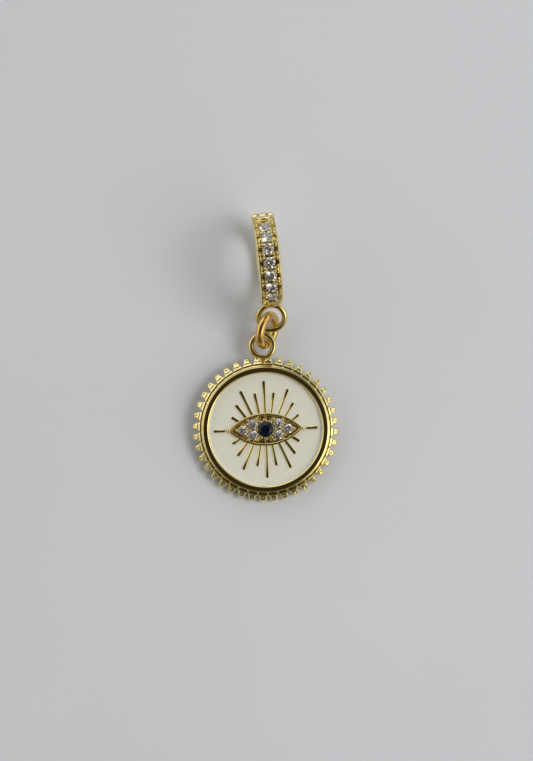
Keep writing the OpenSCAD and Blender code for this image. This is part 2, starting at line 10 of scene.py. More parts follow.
import bpy
import numpy as np
from bpy.props import FloatProperty, FloatVectorProperty, IntProperty, PointerProperty
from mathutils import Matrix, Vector


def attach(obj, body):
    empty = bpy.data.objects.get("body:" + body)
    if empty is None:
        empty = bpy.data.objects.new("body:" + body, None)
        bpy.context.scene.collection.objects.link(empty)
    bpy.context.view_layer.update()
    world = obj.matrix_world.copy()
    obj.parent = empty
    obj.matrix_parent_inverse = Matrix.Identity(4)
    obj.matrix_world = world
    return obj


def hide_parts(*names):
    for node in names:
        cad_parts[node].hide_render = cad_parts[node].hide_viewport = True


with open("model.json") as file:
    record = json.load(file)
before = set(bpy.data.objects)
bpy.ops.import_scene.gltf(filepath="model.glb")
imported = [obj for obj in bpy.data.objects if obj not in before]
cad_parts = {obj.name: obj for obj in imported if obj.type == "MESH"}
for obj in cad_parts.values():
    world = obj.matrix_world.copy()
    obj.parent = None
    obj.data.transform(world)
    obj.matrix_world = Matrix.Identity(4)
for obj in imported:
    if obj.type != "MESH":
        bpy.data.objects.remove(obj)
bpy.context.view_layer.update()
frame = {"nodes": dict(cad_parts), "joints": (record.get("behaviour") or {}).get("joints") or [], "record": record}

bl_info = {
    "name": "Evil eye pendant",
    "version": (1, 0, 0),
    "blender": (4, 5, 0),
    "location": "3D View > Sidebar > Pendant",
    "description": "Builds the finished surfaces, materials and stage of the pendant",
    "category": "Object",
}

MM = 0.001
PENDANT = "pendant"
GATE = "gate"
HINGE = frame["joints"][0]


# Properties

def number(name, description, value, **more):
    """A property that is one number."""
    return FloatProperty(name=name, description=description, default=value, **more)


def length(name, description, millimetres):
    """A length property, given in millimetres and kept in metres."""
    return number(name, description, millimetres * MM, unit="LENGTH", precision=5)


def share(name, description, value):
    """A property between nothing and the whole."""
    return number(name, description, value, min=0.0, max=1.0, subtype="FACTOR")


def colour(name, description, rgb):
    """A colour property in linear light."""
    return FloatVectorProperty(
        name=name, description=description, default=rgb, size=3, min=0.0, max=1.0, subtype="COLOR"
    )


class DiscSizes(bpy.types.PropertyGroup):
    """Sizes of the toothed disc, its enamel and its rays"""

    across: length("Diameter", "Diameter over the tooth tips", 17.0)
    teeth: IntProperty(name="Teeth", description="Number of teeth round the edge", default=40)
    tooth_depth: length("Tooth depth", "Radial depth of a tooth", 0.77)
    tooth_root: share("Tooth root", "Share of the pitch that is metal at a tooth's root", 0.86)
    tooth_tip: share("Tooth tip", "Share of the pitch that is metal at a tooth's tip", 0.40)
    tooth_corner: length("Tooth corner", "Radius of the corners at a tooth's tip", 0.15)
    tooth_fall: length("Tooth fall", "Height that a tooth's top falls from root to tip", 0.41)
    tooth_rise: length("Tooth rise", "Height of a tooth's root above the flange", 0.15)
    tooth_bar: length("Tooth bar", "Radial width of the bar at a tooth's root", 0.16)
    tooth_groove: length("Tooth groove", "Depth of the groove outside the bar", 0.08)
    tooth_dimple: length("Tooth dimple", "Depth of the dimple in a tooth's stud", 0.075)
    flange: length("Flange", "Thickness of the toothed flange", 1.15)
    floor: length("Floor", "Thickness of the metal under the enamel", 0.95)
    land: length("Land", "Width of the flat land between the step and the tooth roots", 0.17)
    step: length("Step", "Width of the low step outside the rim", 0.26)
    step_height: length("Step height", "Height of the step above the flange", 0.20)
    rim: length("Rim", "Width of the raised rim", 0.70)
    rim_height: length("Rim height", "Height of the rim's crest above the back", 1.90)
    rim_fall: length("Rim fall", "Height that the rim falls from its crest outwards", 0.065)
    rim_flat: number("Rim flatness", "Flatness of the rim's inner side, where 2 is round", 2.7)
    enamel: length("Enamel", "Depth of the enamel", 0.50)
    enamel_creep: length("Enamel creep", "Height that the enamel creeps up the rim", 0.07)
    ray_width: length("Ray width", "Width of a ray", 0.36)
    ray_height: length("Ray height", "Height of a ray above the enamel", 0.14)


class EyeSizes(bpy.types.PropertyGroup):
    """Sizes of the eye and its settings"""

    iris: length("Centre stone", "Diameter of the dark centre stone", 1.80)
    stone: length("Small stone", "Diameter of the six small stones", 1.10)
    iris_space: length("Centre space", "Space between the centre stone and its neighbours", 0.16)
    stone_space: length("Stone space", "Space between neighbouring small stones", 0.22)
    corner_room: length("Corner room", "Room between the last stone and the inner corner", 0.74)
    side_room: length("Side room", "Room between the paired stones and the lids", 0.15)
    lid: length("Lid", "Width of the raised lid", 0.36)
    lid_height: length("Lid height", "Height of the lid above the enamel", 0.30)
    ball: length("Corner ball", "Diameter of the ball at each corner", 0.46)
    bead: length("Bead", "Diameter of a bead prong", 0.32)
    iris_bead: length("Centre bead", "Diameter of a bead prong beside the centre stone", 0.42)
    stone_sink: length("Stone sink", "Depth of the small girdles below the lid's top", 0.10)
    iris_sink: length("Centre sink", "Depth of the centre girdle below the lid's top", 0.05)
    bed_sink: length("Bed sink", "Depth of the valleys between the stones' collars", 0.26)


class LinkSizes(bpy.types.PropertyGroup):
    """Sizes of the loop, the jump ring and the bail's ring"""

    loop: length("Loop", "Inner diameter of the loop on the disc", 1.90)
    loop_wire: length("Loop wire", "Wire diameter of the loop", 0.68)
    loop_bite: length("Loop bite", "Distance that the loop's wire reaches inside the tips", 0.44)
    loop_height: length("Loop height", "Height of the loop's centre above the back", 0.75)
    ring: length("Bail ring", "Inner diameter of the ring under the bail", 2.44)
    ring_wire: length("Bail ring wire", "Wire diameter of the ring under the bail", 0.64)
    ring_bite: length("Bail ring bite", "Distance that the ring is soldered into the bail", 0.22)
    seam: length("Seam", "Width of the gap in the jump ring's wire", 0.07)


class BailSizes(bpy.types.PropertyGroup):
    """Sizes of the round hinged bail"""

    across: length("Diameter", "Outer diameter of the bail", 10.90)
    thick: length("Thickness", "Radial thickness of the front half", 1.10)
    width: length("Width", "Greatest width of the front half", 2.65)
    face: length("Face", "Width of the front face between its edges", 2.30)
    slope: length("Slope", "Radial height of the flank beside the face", 0.35)
    rail_fall: length("Rail fall", "Depth by which the rails fall towards their outer edges", 0.12)
    plain_width: length("Plain width", "Width of the gate and of the plain lower end", 1.80)
    plain_thick: length("Plain thickness", "Thickness of the gate", 0.95)
    plain_inset: length("Plain inset", "Distance that the gate lies inside the front", 0.05)
    stone: length("Stone", "Diameter of a bail stone", 1.35)
    stone_space: length("Stone space", "Space between neighbouring stones", 0.17)
    stone_sink: length("Stone sink", "Depth of the girdles below the face", 0.12)
    stone_mid: number("Middle stone", "Angle of the middle stone from the top", 96.0)
    bead: length("Bead", "Diameter of a bead prong", 0.34)
    edge_bead: length("Edge bead", "Diameter of a bead on the rails", 0.28)
    edge_bead_x: length("Edge bead place", "Distance of the rails' beads from the middle", 0.96)
    bed_sink: length("Bed sink", "Depth of the bed between the rails", 0.17)
    pocket: length("Pocket", "Diameter of the pocket beside each stone", 0.54)
    pocket_depth: length("Pocket depth", "Depth of the pocket", 0.45)
    pocket_out: length("Pocket place", "Distance of a pocket outside its stone", 0.13)
    knuckle: length("Knuckle", "Diameter of a hinge knuckle", 1.24)
    knuckle_width: length("Knuckle width", "Width of the gate's knuckle", 0.96)
    pass_gap: length("Passing gap", "Gap between parts of the hinge that pass", 0.08)
    latch_from_ring: number("Latch place", "Angle from the bail's ring to the latch", 30.0)
    tongue_width: length("Tongue width", "Width of the latch tongue", 0.80)
    tongue_thick: length("Tongue thickness", "Thickness of the latch tongue", 0.32)
    tongue_long: length("Tongue length", "Length of the latch tongue", 0.55)


class Finishes(bpy.types.PropertyGroup):
    """Colours of the metals, the enamel and the stones"""

    gold: colour("Polished gold", "Colour of the polished plating", (0.84, 0.75, 0.40))
    satin: colour("Satin gold", "Colour of the satin plating", (0.73, 0.51, 0.18))
    # amber painted into the plating: painted shade in hollows and gaps, and an even tint on the loop's wire
    painted_shade_amber: colour("Amber", "Colour of the plating deep in the settings", (0.66, 0.49, 0.15))
    enamel: colour("Enamel", "Colour of the enamel", (0.88, 0.888, 0.835))
    iris: colour("Centre stone", "Colour of the centre stone", (0.002, 0.006, 0.020))
    clear: colour("Clear stone", "Colour of the clear stones", (1.0, 0.965, 0.99))


class StageLook(bpy.types.PropertyGroup):
    """The floor, the light and the camera"""

    floor: colour("Floor", "Colour of the floor", (0.71, 0.748, 0.845))
    key_power: number("Key light", "Power of the soft light", 0.84, unit="POWER")
    sky: number("Sky", "Brightness of the surroundings", 1.37)
    camera_height: length("Camera height", "Height of the camera above the disc's face", 350.0)
    field_height: length("Field height", "Height of the camera's field at the disc", 88.4)
    camera_roll: number("Camera roll", "Turn of the camera about its view", -2.3)


GROUPS = {
    "disc": DiscSizes, "eye": EyeSizes, "links": LinkSizes, "bail": BailSizes,
    "finishes": Finishes, "stage": StageLook,
}


def own_properties(group):
    """The names of a group's own properties, each with its unit."""
    return {
        prop.identifier: getattr(prop, "unit", "NONE") for prop in group.bl_rna.properties
        if prop.identifier not in ("rna_type", "name")
    }


def values(scene, group_name):
    """A group's values by name, with its lengths in millimetres."""
    group = getattr(scene, "pendant_" + group_name)
    found = SimpleNamespace()
    for name, unit_name in own_properties(group).items():
        value = getattr(group, name)
        setattr(found, name, round(value / MM, 5) if unit_name == "LENGTH" else value)
    return found


# Frames

def unit(v):
    """A vector divided by its own length."""
    v = np.asarray(v, float)
    return v / np.linalg.norm(v)


def frame_on(origin, x_axis, z_axis):
    """A frame from its origin, its X axis and its Z axis, with Y square to both."""
    x_axis = unit(x_axis)
    z_axis = unit(z_axis)
    return np.asarray(origin, float), np.array([x_axis, np.cross(z_axis, x_axis), z_axis])


def mount(name):
    """The place, in millimetres, and the axis of one of the record's mounts."""
    found = next(m for m in frame["record"]["mounts"] if m["name"] == name)
    return np.array(found["pos_m"]) / MM, unit(found["axis"])


def disc_frame():
    """The disc's frame: the middle of its back, with Z through its face."""
    place, outwards = mount("back")
    return frame_on(place, (1, 0, 0), -outwards)


def bail_frame():
    """The bail's frame: the centre of its round opening, X along the hinge and Z to its front."""
    opening = frame["record"]["physics"]["openings"][0]
    centre = np.mean(opening["box_m"], axis=0) / MM
    x_axis = unit(HINGE["axis"])
    y_axis = unit(np.cross((0, 0, 1), x_axis))
    return frame_on(centre, x_axis, np.cross(x_axis, y_axis))


def angle_round_bail(point):
    """The angle of a point round the bail, from its top over the front, and its radius."""
    centre, axes = bail_frame()
    local = axes @ (np.asarray(point) - centre)
    return np.degrees(np.arctan2(local[2], local[1])), np.hypot(local[1], local[2])


def ring_frame(name):
    """A round wire's frame, with Z along its axis, and its two radii.

    The axis is the direction in which the wire's points spread least."""
    mesh = frame["nodes"][name].data
    points = np.empty(len(mesh.vertices) * 3)
    mesh.vertices.foreach_get("co", points)
    points = points.reshape(-1, 3) / MM
    centre = (points.min(0) + points.max(0)) / 2
    away = points - centre
    axis = np.linalg.svd(away, full_matrices=False)[2][2]
    axis = axis * np.sign(axis[0] or 1)
    height = away @ axis
    flat = np.linalg.norm(away - height[:, None] * axis, axis=1)
    along = unit(np.cross(axis, (0, 0, 1)))
    return frame_on(centre, along, axis), (flat.max() + flat.min()) / 2, height.max()


# Skins: a skin is its points, its four-sided faces and its triangles

def grid_faces(rows, cols, wrap_rows, wrap_cols):
    """Four-sided faces between neighbouring rows and columns of points numbered row by row."""
    r = np.arange(rows if wrap_rows else rows - 1)[:, None]
    c = np.arange(cols if wrap_cols else cols - 1)[None, :]
    next_r = (r + 1) % rows
    next_c = (c + 1) % cols
    corners = [r * cols + c, r * cols + next_c, next_r * cols + next_c, next_r * cols + c]
    return np.stack(np.broadcast_arrays(*corners), -1).reshape(-1, 4)


def fan_faces(ring, hub):
    """Triangles from each edge of a closed ring of point numbers to one hub."""
    return np.stack([ring, np.roll(ring, -1), np.full(len(ring), hub)], -1)


def outward(points, quads, tris):
    """A closed skin with its faces turned outwards.

    The dot product of one corner with the cross product of the other two, summed over the
    triangles, is six times the volume, and it is negative when the faces point inwards."""
    split = np.concatenate([quads[:, [0, 1, 2]], quads[:, [0, 2, 3]], tris])
    a, b, c = (points[split[:, i]] for i in range(3))
    if np.einsum("ij,ij->", a, np.cross(b, c)) < 0:
        quads = quads[:, ::-1]
        tris = tris[:, ::-1]
    return points, quads, tris


def tube(grid):
    """A closed skin over a row of rings, each end closed by a fan to the middle of its ring."""
    rows, cols = grid.shape[:2]
    hubs = np.stack([grid[0].mean(0), grid[-1].mean(0)])
    points = np.concatenate([grid.reshape(-1, 3), hubs])
    first = fan_faces(np.arange(cols)[::-1], rows * cols)
    last = fan_faces(np.arange(cols) + (rows - 1) * cols, rows * cols + 1)
    return outward(points, grid_faces(rows, cols, False, True), np.concatenate([first, last]))


def hoop(grid):
    """A closed skin over a ring of rings, such as a round wire's."""
    rows, cols = grid.shape[:2]
    quads = grid_faces(rows, cols, True, True)
    return outward(grid.reshape(-1, 3), quads, np.empty((0, 3), int))


def relief(top, base):
    """A closed skin under a sheet of points: its edge drops to a base height, closed by a fan."""
    rows, cols = top.shape[:2]
    ids = np.arange(rows * cols).reshape(rows, cols)
    edge = np.concatenate([ids[0, :-1], ids[:-1, -1], ids[-1, :0:-1], ids[:0:-1, 0]])
    points = top.reshape(-1, 3)
    low = points[edge].copy()
    low[:, 2] = base
    hub = low.mean(0)[None]
    low_ids = len(points) + np.arange(len(edge))
    wall = np.stack([np.roll(edge, -1), edge, low_ids, np.roll(low_ids, -1)], -1)
    quads = np.concatenate([grid_faces(rows, cols, False, False), wall])
    tris = fan_faces(low_ids[::-1], len(points) + len(edge))
    return outward(np.concatenate([points, low, hub]), quads, tris)


def welded(points, quads):
    """A closed skin whose coinciding points are made one.

    A four-sided face that loses a corner becomes a triangle, and one that loses two is dropped."""
    same = 1e-5
    keys = np.round(points / same).astype(np.int64)
    _, first, same_as = np.unique(keys, axis=0, return_index=True, return_inverse=True)
    quads = same_as.reshape(-1)[quads]
    double = quads == np.roll(quads, -1, axis=1)
    count = double.sum(1)
    one = quads[count == 1]
    tris = one[~double[count == 1]].reshape(-1, 3)
    return outward(points[first], quads[count == 0], tris)


def joined(skins):
    """Several skins as one."""
    starts = np.cumsum([0] + [len(skin[0]) for skin in skins])
    return (
        np.concatenate([skin[0] for skin in skins]),
        np.concatenate([skin[1] + start for skin, start in zip(skins, starts)]),
        np.concatenate([skin[2] + start for skin, start in zip(skins, starts)]),
    )


def moved(skin, origin, axes):
    """A skin in another frame: the origin plus each coordinate times its axis."""
    points, quads, tris = skin
    return origin + points @ axes, quads, tris


def shifted(skin, by):
    """A skin moved without a turn."""
    points, quads, tris = skin
    return points + np.asarray(by), quads, tris


def placed(skin, where):
    """A skin in metres in the shared frame."""
    points, quads, tris = moved(skin, *where)
    return points * MM, quads, tris


# Shapes

def polar(radius, degrees):
    """Points of the plane at a radius and an angle from its first axis."""
    a = np.radians(degrees)
    return np.stack([radius * np.cos(a), radius * np.sin(a)], -1)


def once_round(count):
    """Evenly spaced angles once round a circle."""
    return np.arange(count) * 360 / count


def arc(centre, radius, start, end, steps):
    """Points along a circular arc between two angles."""
    return np.asarray(centre) + polar(radius, np.linspace(start, end, steps))


def crown(centre, half_wide, high, flat, start, end, steps):
    """Points over a rounded crown between two angles.

    The sum of the two places, each as a share of its half size and raised to the power flat, is
    one: 2 gives an ellipse, more gives a flatter top and less a sharper one."""
    place = polar(1, np.linspace(start, end, steps))
    place = np.sign(place) * np.abs(place) ** (2 / flat)
    return np.asarray(centre) + place * (half_wide, high)


def turned(profile, cols, poles=None):
    """A skin turned about the Z axis: each profile point (r, z) goes once round the axis.

    The fans at its ends meet at the heights of the poles, or else level with their rings."""
    a = np.radians(once_round(cols))
    r = profile[:, 0][:, None]
    z = np.broadcast_to(profile[:, 1][:, None], (len(profile), cols))
    points, quads, tris = tube(np.stack([r * np.sin(a), r * np.cos(a), z], -1))
    if poles:
        points[-2:, 2] = poles
    return points, quads, tris


def ball(centre, radius, cols, rows):
    """A ball: its radius times the cosine and the sine of the height angle, turned about Z."""
    profile = polar(radius, np.linspace(-90, 90, rows + 2)[1:-1])
    return shifted(turned(profile, cols, poles=(-radius, radius)), centre)


def wire_ring(radius, wire, degrees, cols, thin=0):
    """A round wire bent to a ring about the Z axis; thin takes a depth off the wire's radius."""
    a = np.radians(degrees)[:, None]
    v = np.radians(once_round(cols))[None, :]
    thick = wire - np.reshape(thin, (-1, 1))
    out = radius + thick * np.cos(v)
    return hoop(np.stack([out * np.cos(a), out * np.sin(a), thick * np.sin(v) + 0 * a], -1))


def smooth(t):
    """The smooth step: three times the square less twice the cube, between nothing and one."""
    t = np.clip(t, 0, 1)
    return t * t * (3 - 2 * t)


def bell(distance, width):
    """A bell curve: e to the power of minus the square of the distance over the width."""
    return np.exp(-(distance / width) ** 2)


def oval_half(x, half_long, half_high):
    """Half height at x of the pointed oval between two equal arcs."""
    r = (half_long ** 2 + half_high ** 2) / (2 * half_high)
    return np.sqrt(np.maximum(r * r - x * x, 0)) - (r - half_high)


def hammered(x, y, wave):
    """A hammered surface between minus one and one: three sine waves along different lines."""
    k = 2 * np.pi / wave
    first = np.sin(k * x + 1.3 * np.sin(0.6 * k * y))
    second = np.sin(k * (0.5 * x + 0.87 * y) + 1.1 * np.sin(0.5 * k * x))
    third = np.sin(k * (-0.5 * x + 0.87 * y) * 1.2)
    return (first + second + third) / 3


# Gap left between a stone and its seat, in millimetres
SEAT_GAP = 0.03


def seat_height(rho, diameter):
    """Height of a stone's conical seat below its girdle, at a distance from the stone's middle.

    The cone runs from a point under the pavilion to the girdle's edge; outside it is open."""
    edge = diameter / 2 + SEAT_GAP
    tip = -diameter * 0.45 - 2 * SEAT_GAP
    top = -diameter * 0.02
    return np.where(rho < edge, tip + (top - tip) * rho / edge, np.inf)


# The disc

def disc_radii(disc):
    """The disc's radii: the tips, the tooth roots, the step, the rim and the enamel."""
    tip = disc.across / 2
    root = tip - disc.tooth_depth
    step = root - disc.land
    rim = step - disc.step
    return tip, root, step, rim, rim - disc.rim


def disc_body(disc):
    """The disc without its teeth: its section turned once about its axis.

    The section runs over the back and the edge, up the rounded step, over the rim, which falls
    outwards by a square law, and down its inner side to the floor under the enamel."""
    root, step, rim, enamel = disc_radii(disc)[1:]
    hub = 0.4
    inside = 3.0
    edge = 0.08
    land_z = disc.flange - 0.05
    step_z = disc.step_height + 0.07
    step_flat = 1.6
    corner = 0.05
    corner_z = disc.rim_height - disc.rim_fall - corner
    crest = disc.rim / 2 + 0.02
    crest_z = disc.rim_height - crest
    middle = rim - disc.rim / 2
    outer = np.linspace(crest - corner, 0, 12)[1:-1]
    foot = [(-0.02, 0.05), (-0.06, 0)]
    profile = np.concatenate([
        polar(np.linspace(hub, root - edge, 6), 0),
        arc((root - edge, edge), edge, -90, 0, steps=5),
        arc((root - edge, land_z - edge), edge, 0, 90, steps=5),
        crown((rim, land_z), step - rim, step_z, step_flat, 0, 84, steps=12),
        [(middle + crest, crest_z)],
        arc((middle + crest - corner, corner_z), corner, 0, 70, steps=6),
        np.stack([middle + outer, disc.rim_height - disc.rim_fall * (outer / crest) ** 2], -1),
        crown((middle, crest_z), crest, crest, disc.rim_flat, 90, 180, steps=22),
        np.array((enamel, disc.floor)) + foot, [(inside, disc.floor), (hub, disc.floor)],
    ])
    return turned(profile, cols=360)


def tooth_rows(disc):
    """Distances from the axis at which a tooth's sections stand, close together at its groove."""
    tip, root = disc_radii(disc)[:2]
    bar = root + disc.tooth_bar
    rounding = tip - disc.tooth_corner
    inner_end = np.array([0.14, 0.12, 0.10, 0.08, 0.05])
    groove = np.array([-0.03, 0.0, 0.02, 0.04, 0.06, 0.09])
    stud_from = bar + 0.12
    stud_to = rounding - 0.03
    return np.concatenate([
        root - inner_end, [root, root + disc.tooth_bar * 0.6], bar + groove,
        np.linspace(stud_from, stud_to, 7),
        rounding + disc.tooth_corner * np.sin(np.radians(np.linspace(0, 90, 8))),
    ])


def tooth_outline(disc, r):
    """How far out along a tooth each section stands, as a share, and half its width there.

    The width follows the pitch, and a quarter circle rounds the corners at the tip."""
    tip, root = disc_radii(disc)[:2]
    corner = disc.tooth_corner
    t = np.clip((r - root) / disc.tooth_depth, -0.5, 1)
    half_pitch = 180 / disc.teeth
    half_angle = half_pitch * (disc.tooth_root + (disc.tooth_tip - disc.tooth_root) * t)
    rounded = np.clip((r - (tip - corner)) / corner, 0, 1)
    return t, r * np.sin(np.radians(half_angle)) - corner * (1 - np.sqrt(1 - rounded ** 2))


def tooth_skin(disc, tooth):
    """One tooth about the Y axis, as sections across it from its root to its rounded tip.

    The top falls outwards. It has a rounded bar at the root, a thin groove, and then a stud that
    falls away towards the tooth's outline, exponentially, and has a dimple in its middle, by a
    bell curve. The dimple's place differs a little from one numbered tooth to the next. At its
    root the underside is lifted, so that it doesn't lie in the plane of the disc's back."""
    tip, root = disc_radii(disc)[:2]
    bar = root + disc.tooth_bar
    r = tooth_rows(disc)[:, None]
    t, half = tooth_outline(disc, r)
    s = np.sin(np.radians(np.linspace(-90, 90, 21)))[None, :]
    to_side = half * (1 - np.abs(s))
    to_edge = np.minimum(to_side, np.broadcast_to(tip - r, to_side.shape))
    soft = 0.05
    inner_reach = 0.13
    inner_drop = 0.16
    stud = smooth((r - bar) / soft)
    inner_end = 1 - smooth((r - root + inner_reach) / soft)
    level = disc.flange + disc.tooth_rise - disc.tooth_fall * np.clip(t, -0.1, 1)
    groove_out = 0.01
    groove_wide = 0.03
    groove = disc.tooth_groove * bell(r - bar - groove_out, groove_wide)
    middle = (bar + tip) / 2
    dimple_long = 0.11
    dimple_wide = 0.15
    off_r = 0.05 * np.sin(tooth * 2.4)
    off_x = 0.06 * np.sin(tooth * 1.7 + 1)
    across = half * s - off_x + 0.5 * (r - middle)
    dimple = bell(r - middle - off_r, dimple_long) * bell(across, dimple_wide)
    bevel_w = 0.08 + 0.10 * stud
    bevel_h = 0.07 + 0.13 * stud
    bevel = bevel_h * np.exp(-2.2 * to_edge / bevel_w)
    top = level - inner_drop * inner_end - groove - disc.tooth_dimple * dimple - bevel
    low = 0.06
    lift = 0.03
    side = np.array([[0.5, 0.0]])
    side_z = low + (top[:, -1:] - low) * side
    under = np.array([[0.8, 0.0, -0.8]])
    under_z = lift * smooth((root - r) / lift) + 0 * under
    x = np.concatenate([half * s, half + 0 * side, half * under, -half + 0 * side], 1)
    z = np.concatenate([top, side_z, under_z, side_z[:, ::-1]], 1)
    return tube(np.stack([x, np.broadcast_to(r, x.shape), z], -1))


def turned_about_z(skin, degrees):
    """A skin turned clockwise about the Z axis."""
    a = np.radians(degrees)
    axes = [[np.cos(a), -np.sin(a), 0], [np.sin(a), np.cos(a), 0], [0, 0, 1]]
    return moved(skin, 0, np.array(axes))


def disc_plate(disc):
    """The disc's body with a tooth at every pitch."""
    pitch = 360 / disc.teeth
    teeth = [turned_about_z(tooth_skin(disc, i), (i + 0.5) * pitch) for i in range(disc.teeth)]
    return [disc_body(disc)] + teeth


# The eye

def eye_layout(disc, eye):
    """Places, half sizes and heights in the eye, worked out from the stones and the room left."""
    pair_y = (eye.stone + eye.stone_space) / 2
    reach = (eye.iris + eye.stone) / 2 + eye.iris_space
    pair_x = np.sqrt(reach ** 2 - pair_y ** 2)
    single_x = pair_x + np.sqrt((eye.stone + eye.stone_space) ** 2 - pair_y ** 2)
    in_x = single_x + eye.stone / 2 + eye.corner_room
    in_y = (pair_y + eye.stone / 2 + eye.side_room) / (1 - (pair_x / in_x) ** 2)
    out_x = in_x + 1.25 * eye.lid
    enamel_z = disc.floor + disc.enamel
    lid_z = enamel_z + eye.lid_height
    return SimpleNamespace(
        pair=(pair_x, pair_y), single=(single_x, 0.0), in_x=in_x, in_y=in_y,
        out_x=out_x, out_y=in_y + eye.lid, ball_x=out_x - 0.1 * eye.ball,
        enamel_z=enamel_z, lid_z=lid_z,
        girdle_z=lid_z - eye.stone_sink, iris_z=lid_z - eye.iris_sink,
    )


def mirrored(points):
    """Places in all four quarters, each once, from the places in one quarter."""
    found = []
    for x, y in points:
        for place in ((x, y), (-x, y), (x, -y), (-x, -y)):
            if not any(np.allclose(place, other) for other in found):
                found.append(place)
    return found


def bead_places(eye, at):
    """Places of the bead prongs among the small stones, and of those round the centre stone.

    They stand off from the stones by shares of a stone's or a bead's diameter."""
    pair = np.array(at.pair)
    single = np.array(at.single)
    small = [
        (pair[0] + 0.36 * eye.stone, 0.0), pair + np.array([0.64, -0.01]) * eye.stone,
        single + np.array([0.65, 0.0]) * eye.stone, pair + np.array([-0.42, 0.5]) * eye.stone,
        pair + np.array([0.5, 0.42]) * eye.stone,
    ]
    reach = eye.iris / 2 + eye.iris_bead * 0.40
    angles = (0, 56, 90)
    return mirrored(small), mirrored([polar(reach, angle) for angle in angles])


def eye_bed(disc, eye, at):
    """The floor of the eye as a height at each place, with the stones' conical seats cut into it.

    Its columns run along the eye and its rows across, squeezed to the pointed oval. The metal
    forms a collar round each stone and sinks between them, with a hammered ripple."""
    half_x = at.in_x + eye.lid * 0.3
    half_y = at.in_y + eye.lid * 0.4
    reach = 0.985
    u = np.linspace(-reach, reach, 360)[:, None]
    v = np.linspace(-1, 1, 150)[None, :]
    x = u * half_x + 0 * v
    y = v * oval_half(u * half_x, half_x, half_y)
    stones = [(*place, eye.stone, at.girdle_z) for place in mirrored([at.pair, at.single])]
    stones.append((0.0, 0.0, eye.iris, at.iris_z))
    from_stone = np.full(x.shape, np.inf)
    seats = np.full(x.shape, np.inf)
    for stone_x, stone_y, across, girdle in stones:
        rho = np.hypot(x - stone_x, y - stone_y)
        from_stone = np.minimum(from_stone, rho - across / 2)
        seats = np.minimum(seats, girdle + seat_height(rho, across))
    collar_z = at.girdle_z - 0.02
    collar_wide = 0.05
    valley = smooth((from_stone - collar_wide) / 0.16)
    ripple_high = 0.03
    ripple = ripple_high * hammered(x, y, wave=0.34) * smooth(from_stone / 0.2)
    z = np.minimum(collar_z - eye.bed_sink * valley + ripple, seats)
    return relief(np.stack([x, y, z], -1), disc.floor / 2)


def eye_lid(disc, at):
    """The lid: a rounded band between two pointed ovals, from one corner round to the other.

    A section leads from the outer oval to the inner one, and its height is that of a crown
    above the enamel."""
    t = np.linspace(0, np.pi, 97)
    t = np.concatenate([t, t[1:-1] + np.pi])
    side = np.sign(np.sin(t).round(9))
    ovals = []
    for half_x, half_y in ((at.out_x, at.out_y), (at.in_x, at.in_y)):
        x = half_x * np.cos(t)
        ovals.append(np.stack([x, side * oval_half(x, half_x, half_y)], -1)[:, None, :])
    low = disc.floor * 0.9
    base = at.enamel_z - 0.02
    flat_top = 2.7
    top = crown((0.5, base), 0.5, at.lid_z - base, flat_top, 180, 0, steps=21)
    mix = np.concatenate([[0], top[:, 0], [1]])[None, :, None]
    plan = ovals[0] * (1 - mix) + ovals[1] * mix
    z = np.broadcast_to(np.concatenate([[low], top[:, 1], [low]]), plan.shape[:2])
    return hoop(np.concatenate([plan, z[..., None]], -1))


def bead_post(centre, diameter, flat):
    """A bead prong: a crown on a short post that narrows downwards, as one turned section."""
    r = diameter / 2
    post = [(0.62 * r, -2.4 * r), (0.66 * r, -1.1 * r)]
    high = r * 0.85
    profile = np.concatenate([post, crown((0, 0), r, high, flat, -40, 84, steps=12)])
    pole_rise = 0.002
    poles = (profile[0, 1], profile[-1, 1] + pole_rise)
    return shifted(turned(profile, cols=18, poles=poles), centre)


def eye_setting(disc, eye, at):
    """The lid, the bed, the corner balls and the bead prongs."""
    ball_z = at.lid_z - 0.35 * eye.ball
    small, centre = bead_places(eye, at)
    lift = 0.1 * eye.bead
    skins = [eye_bed(disc, eye, at), eye_lid(disc, at)]
    for side in (-1, 1):
        skins.append(ball((side * at.ball_x, 0, ball_z), eye.ball / 2, cols=28, rows=15))
    skins += [bead_post((x, y, at.girdle_z + lift), eye.bead, flat=2.2) for x, y in small]
    skins += [bead_post((x, y, at.iris_z + lift), eye.iris_bead, flat=3.0) for x, y in centre]
    return skins


def eye_painted_shade(at, points):
    """Share of amber painted shade in the eye: most in the valleys, none on the lid and the beads' tops."""
    inside = oval_half(points[:, 0], at.in_x, at.in_y) - np.abs(points[:, 1])
    return 0.35 * smooth((at.girdle_z - points[:, 2]) / 0.12) * smooth(inside / 0.08 + 1)


# Rays and enamel

# Rays in one quarter: the outer end, and where the ray's line meets the upright axis, as shares
# of the enamel's radius
RAYS = ((0, 0.864, 0), (0.17, 0.65, -0.33), (0.422, 0.7, -0.265), (0.511, 0.455, -0.25),
        (0.597, 0.238, -0.16))
# Room between a level ray and the rim, and between it and the corner ball, in millimetres
LEVEL_RAY_ROOM = 0.5
LEVEL_RAY_GAP = 0.12


def ray_ends(disc, eye, at):
    """The outer and inner end of every ray, the inner ones under the middle of the lid."""
    enamel = disc_radii(disc)[4]
    half_x = at.in_x + eye.lid * 0.5
    half_y = at.in_y + eye.lid * 0.5
    ends = []
    for x, y, aim in RAYS:
        outer = np.array([x, y]) * enamel
        foot = np.array([0, aim]) * enamel
        line = foot + (outer - foot) * np.linspace(1, 0, 400)[:, None]
        clear = np.abs(line[:, 1]) > oval_half(line[:, 0], half_x, half_y)
        inner = line[np.argmin(clear)]
        for side in ((1,) if x == 0 else (1, -1)):
            ends += [(outer * (side, up), inner * (side, up)) for up in (1, -1)]
    level_out = enamel - LEVEL_RAY_ROOM
    level_in = at.ball_x + eye.ball / 2 + LEVEL_RAY_GAP
    ends += [(np.array([side * level_out, 0]), np.array([side * level_in, 0])) for side in (1, -1)]
    return ends


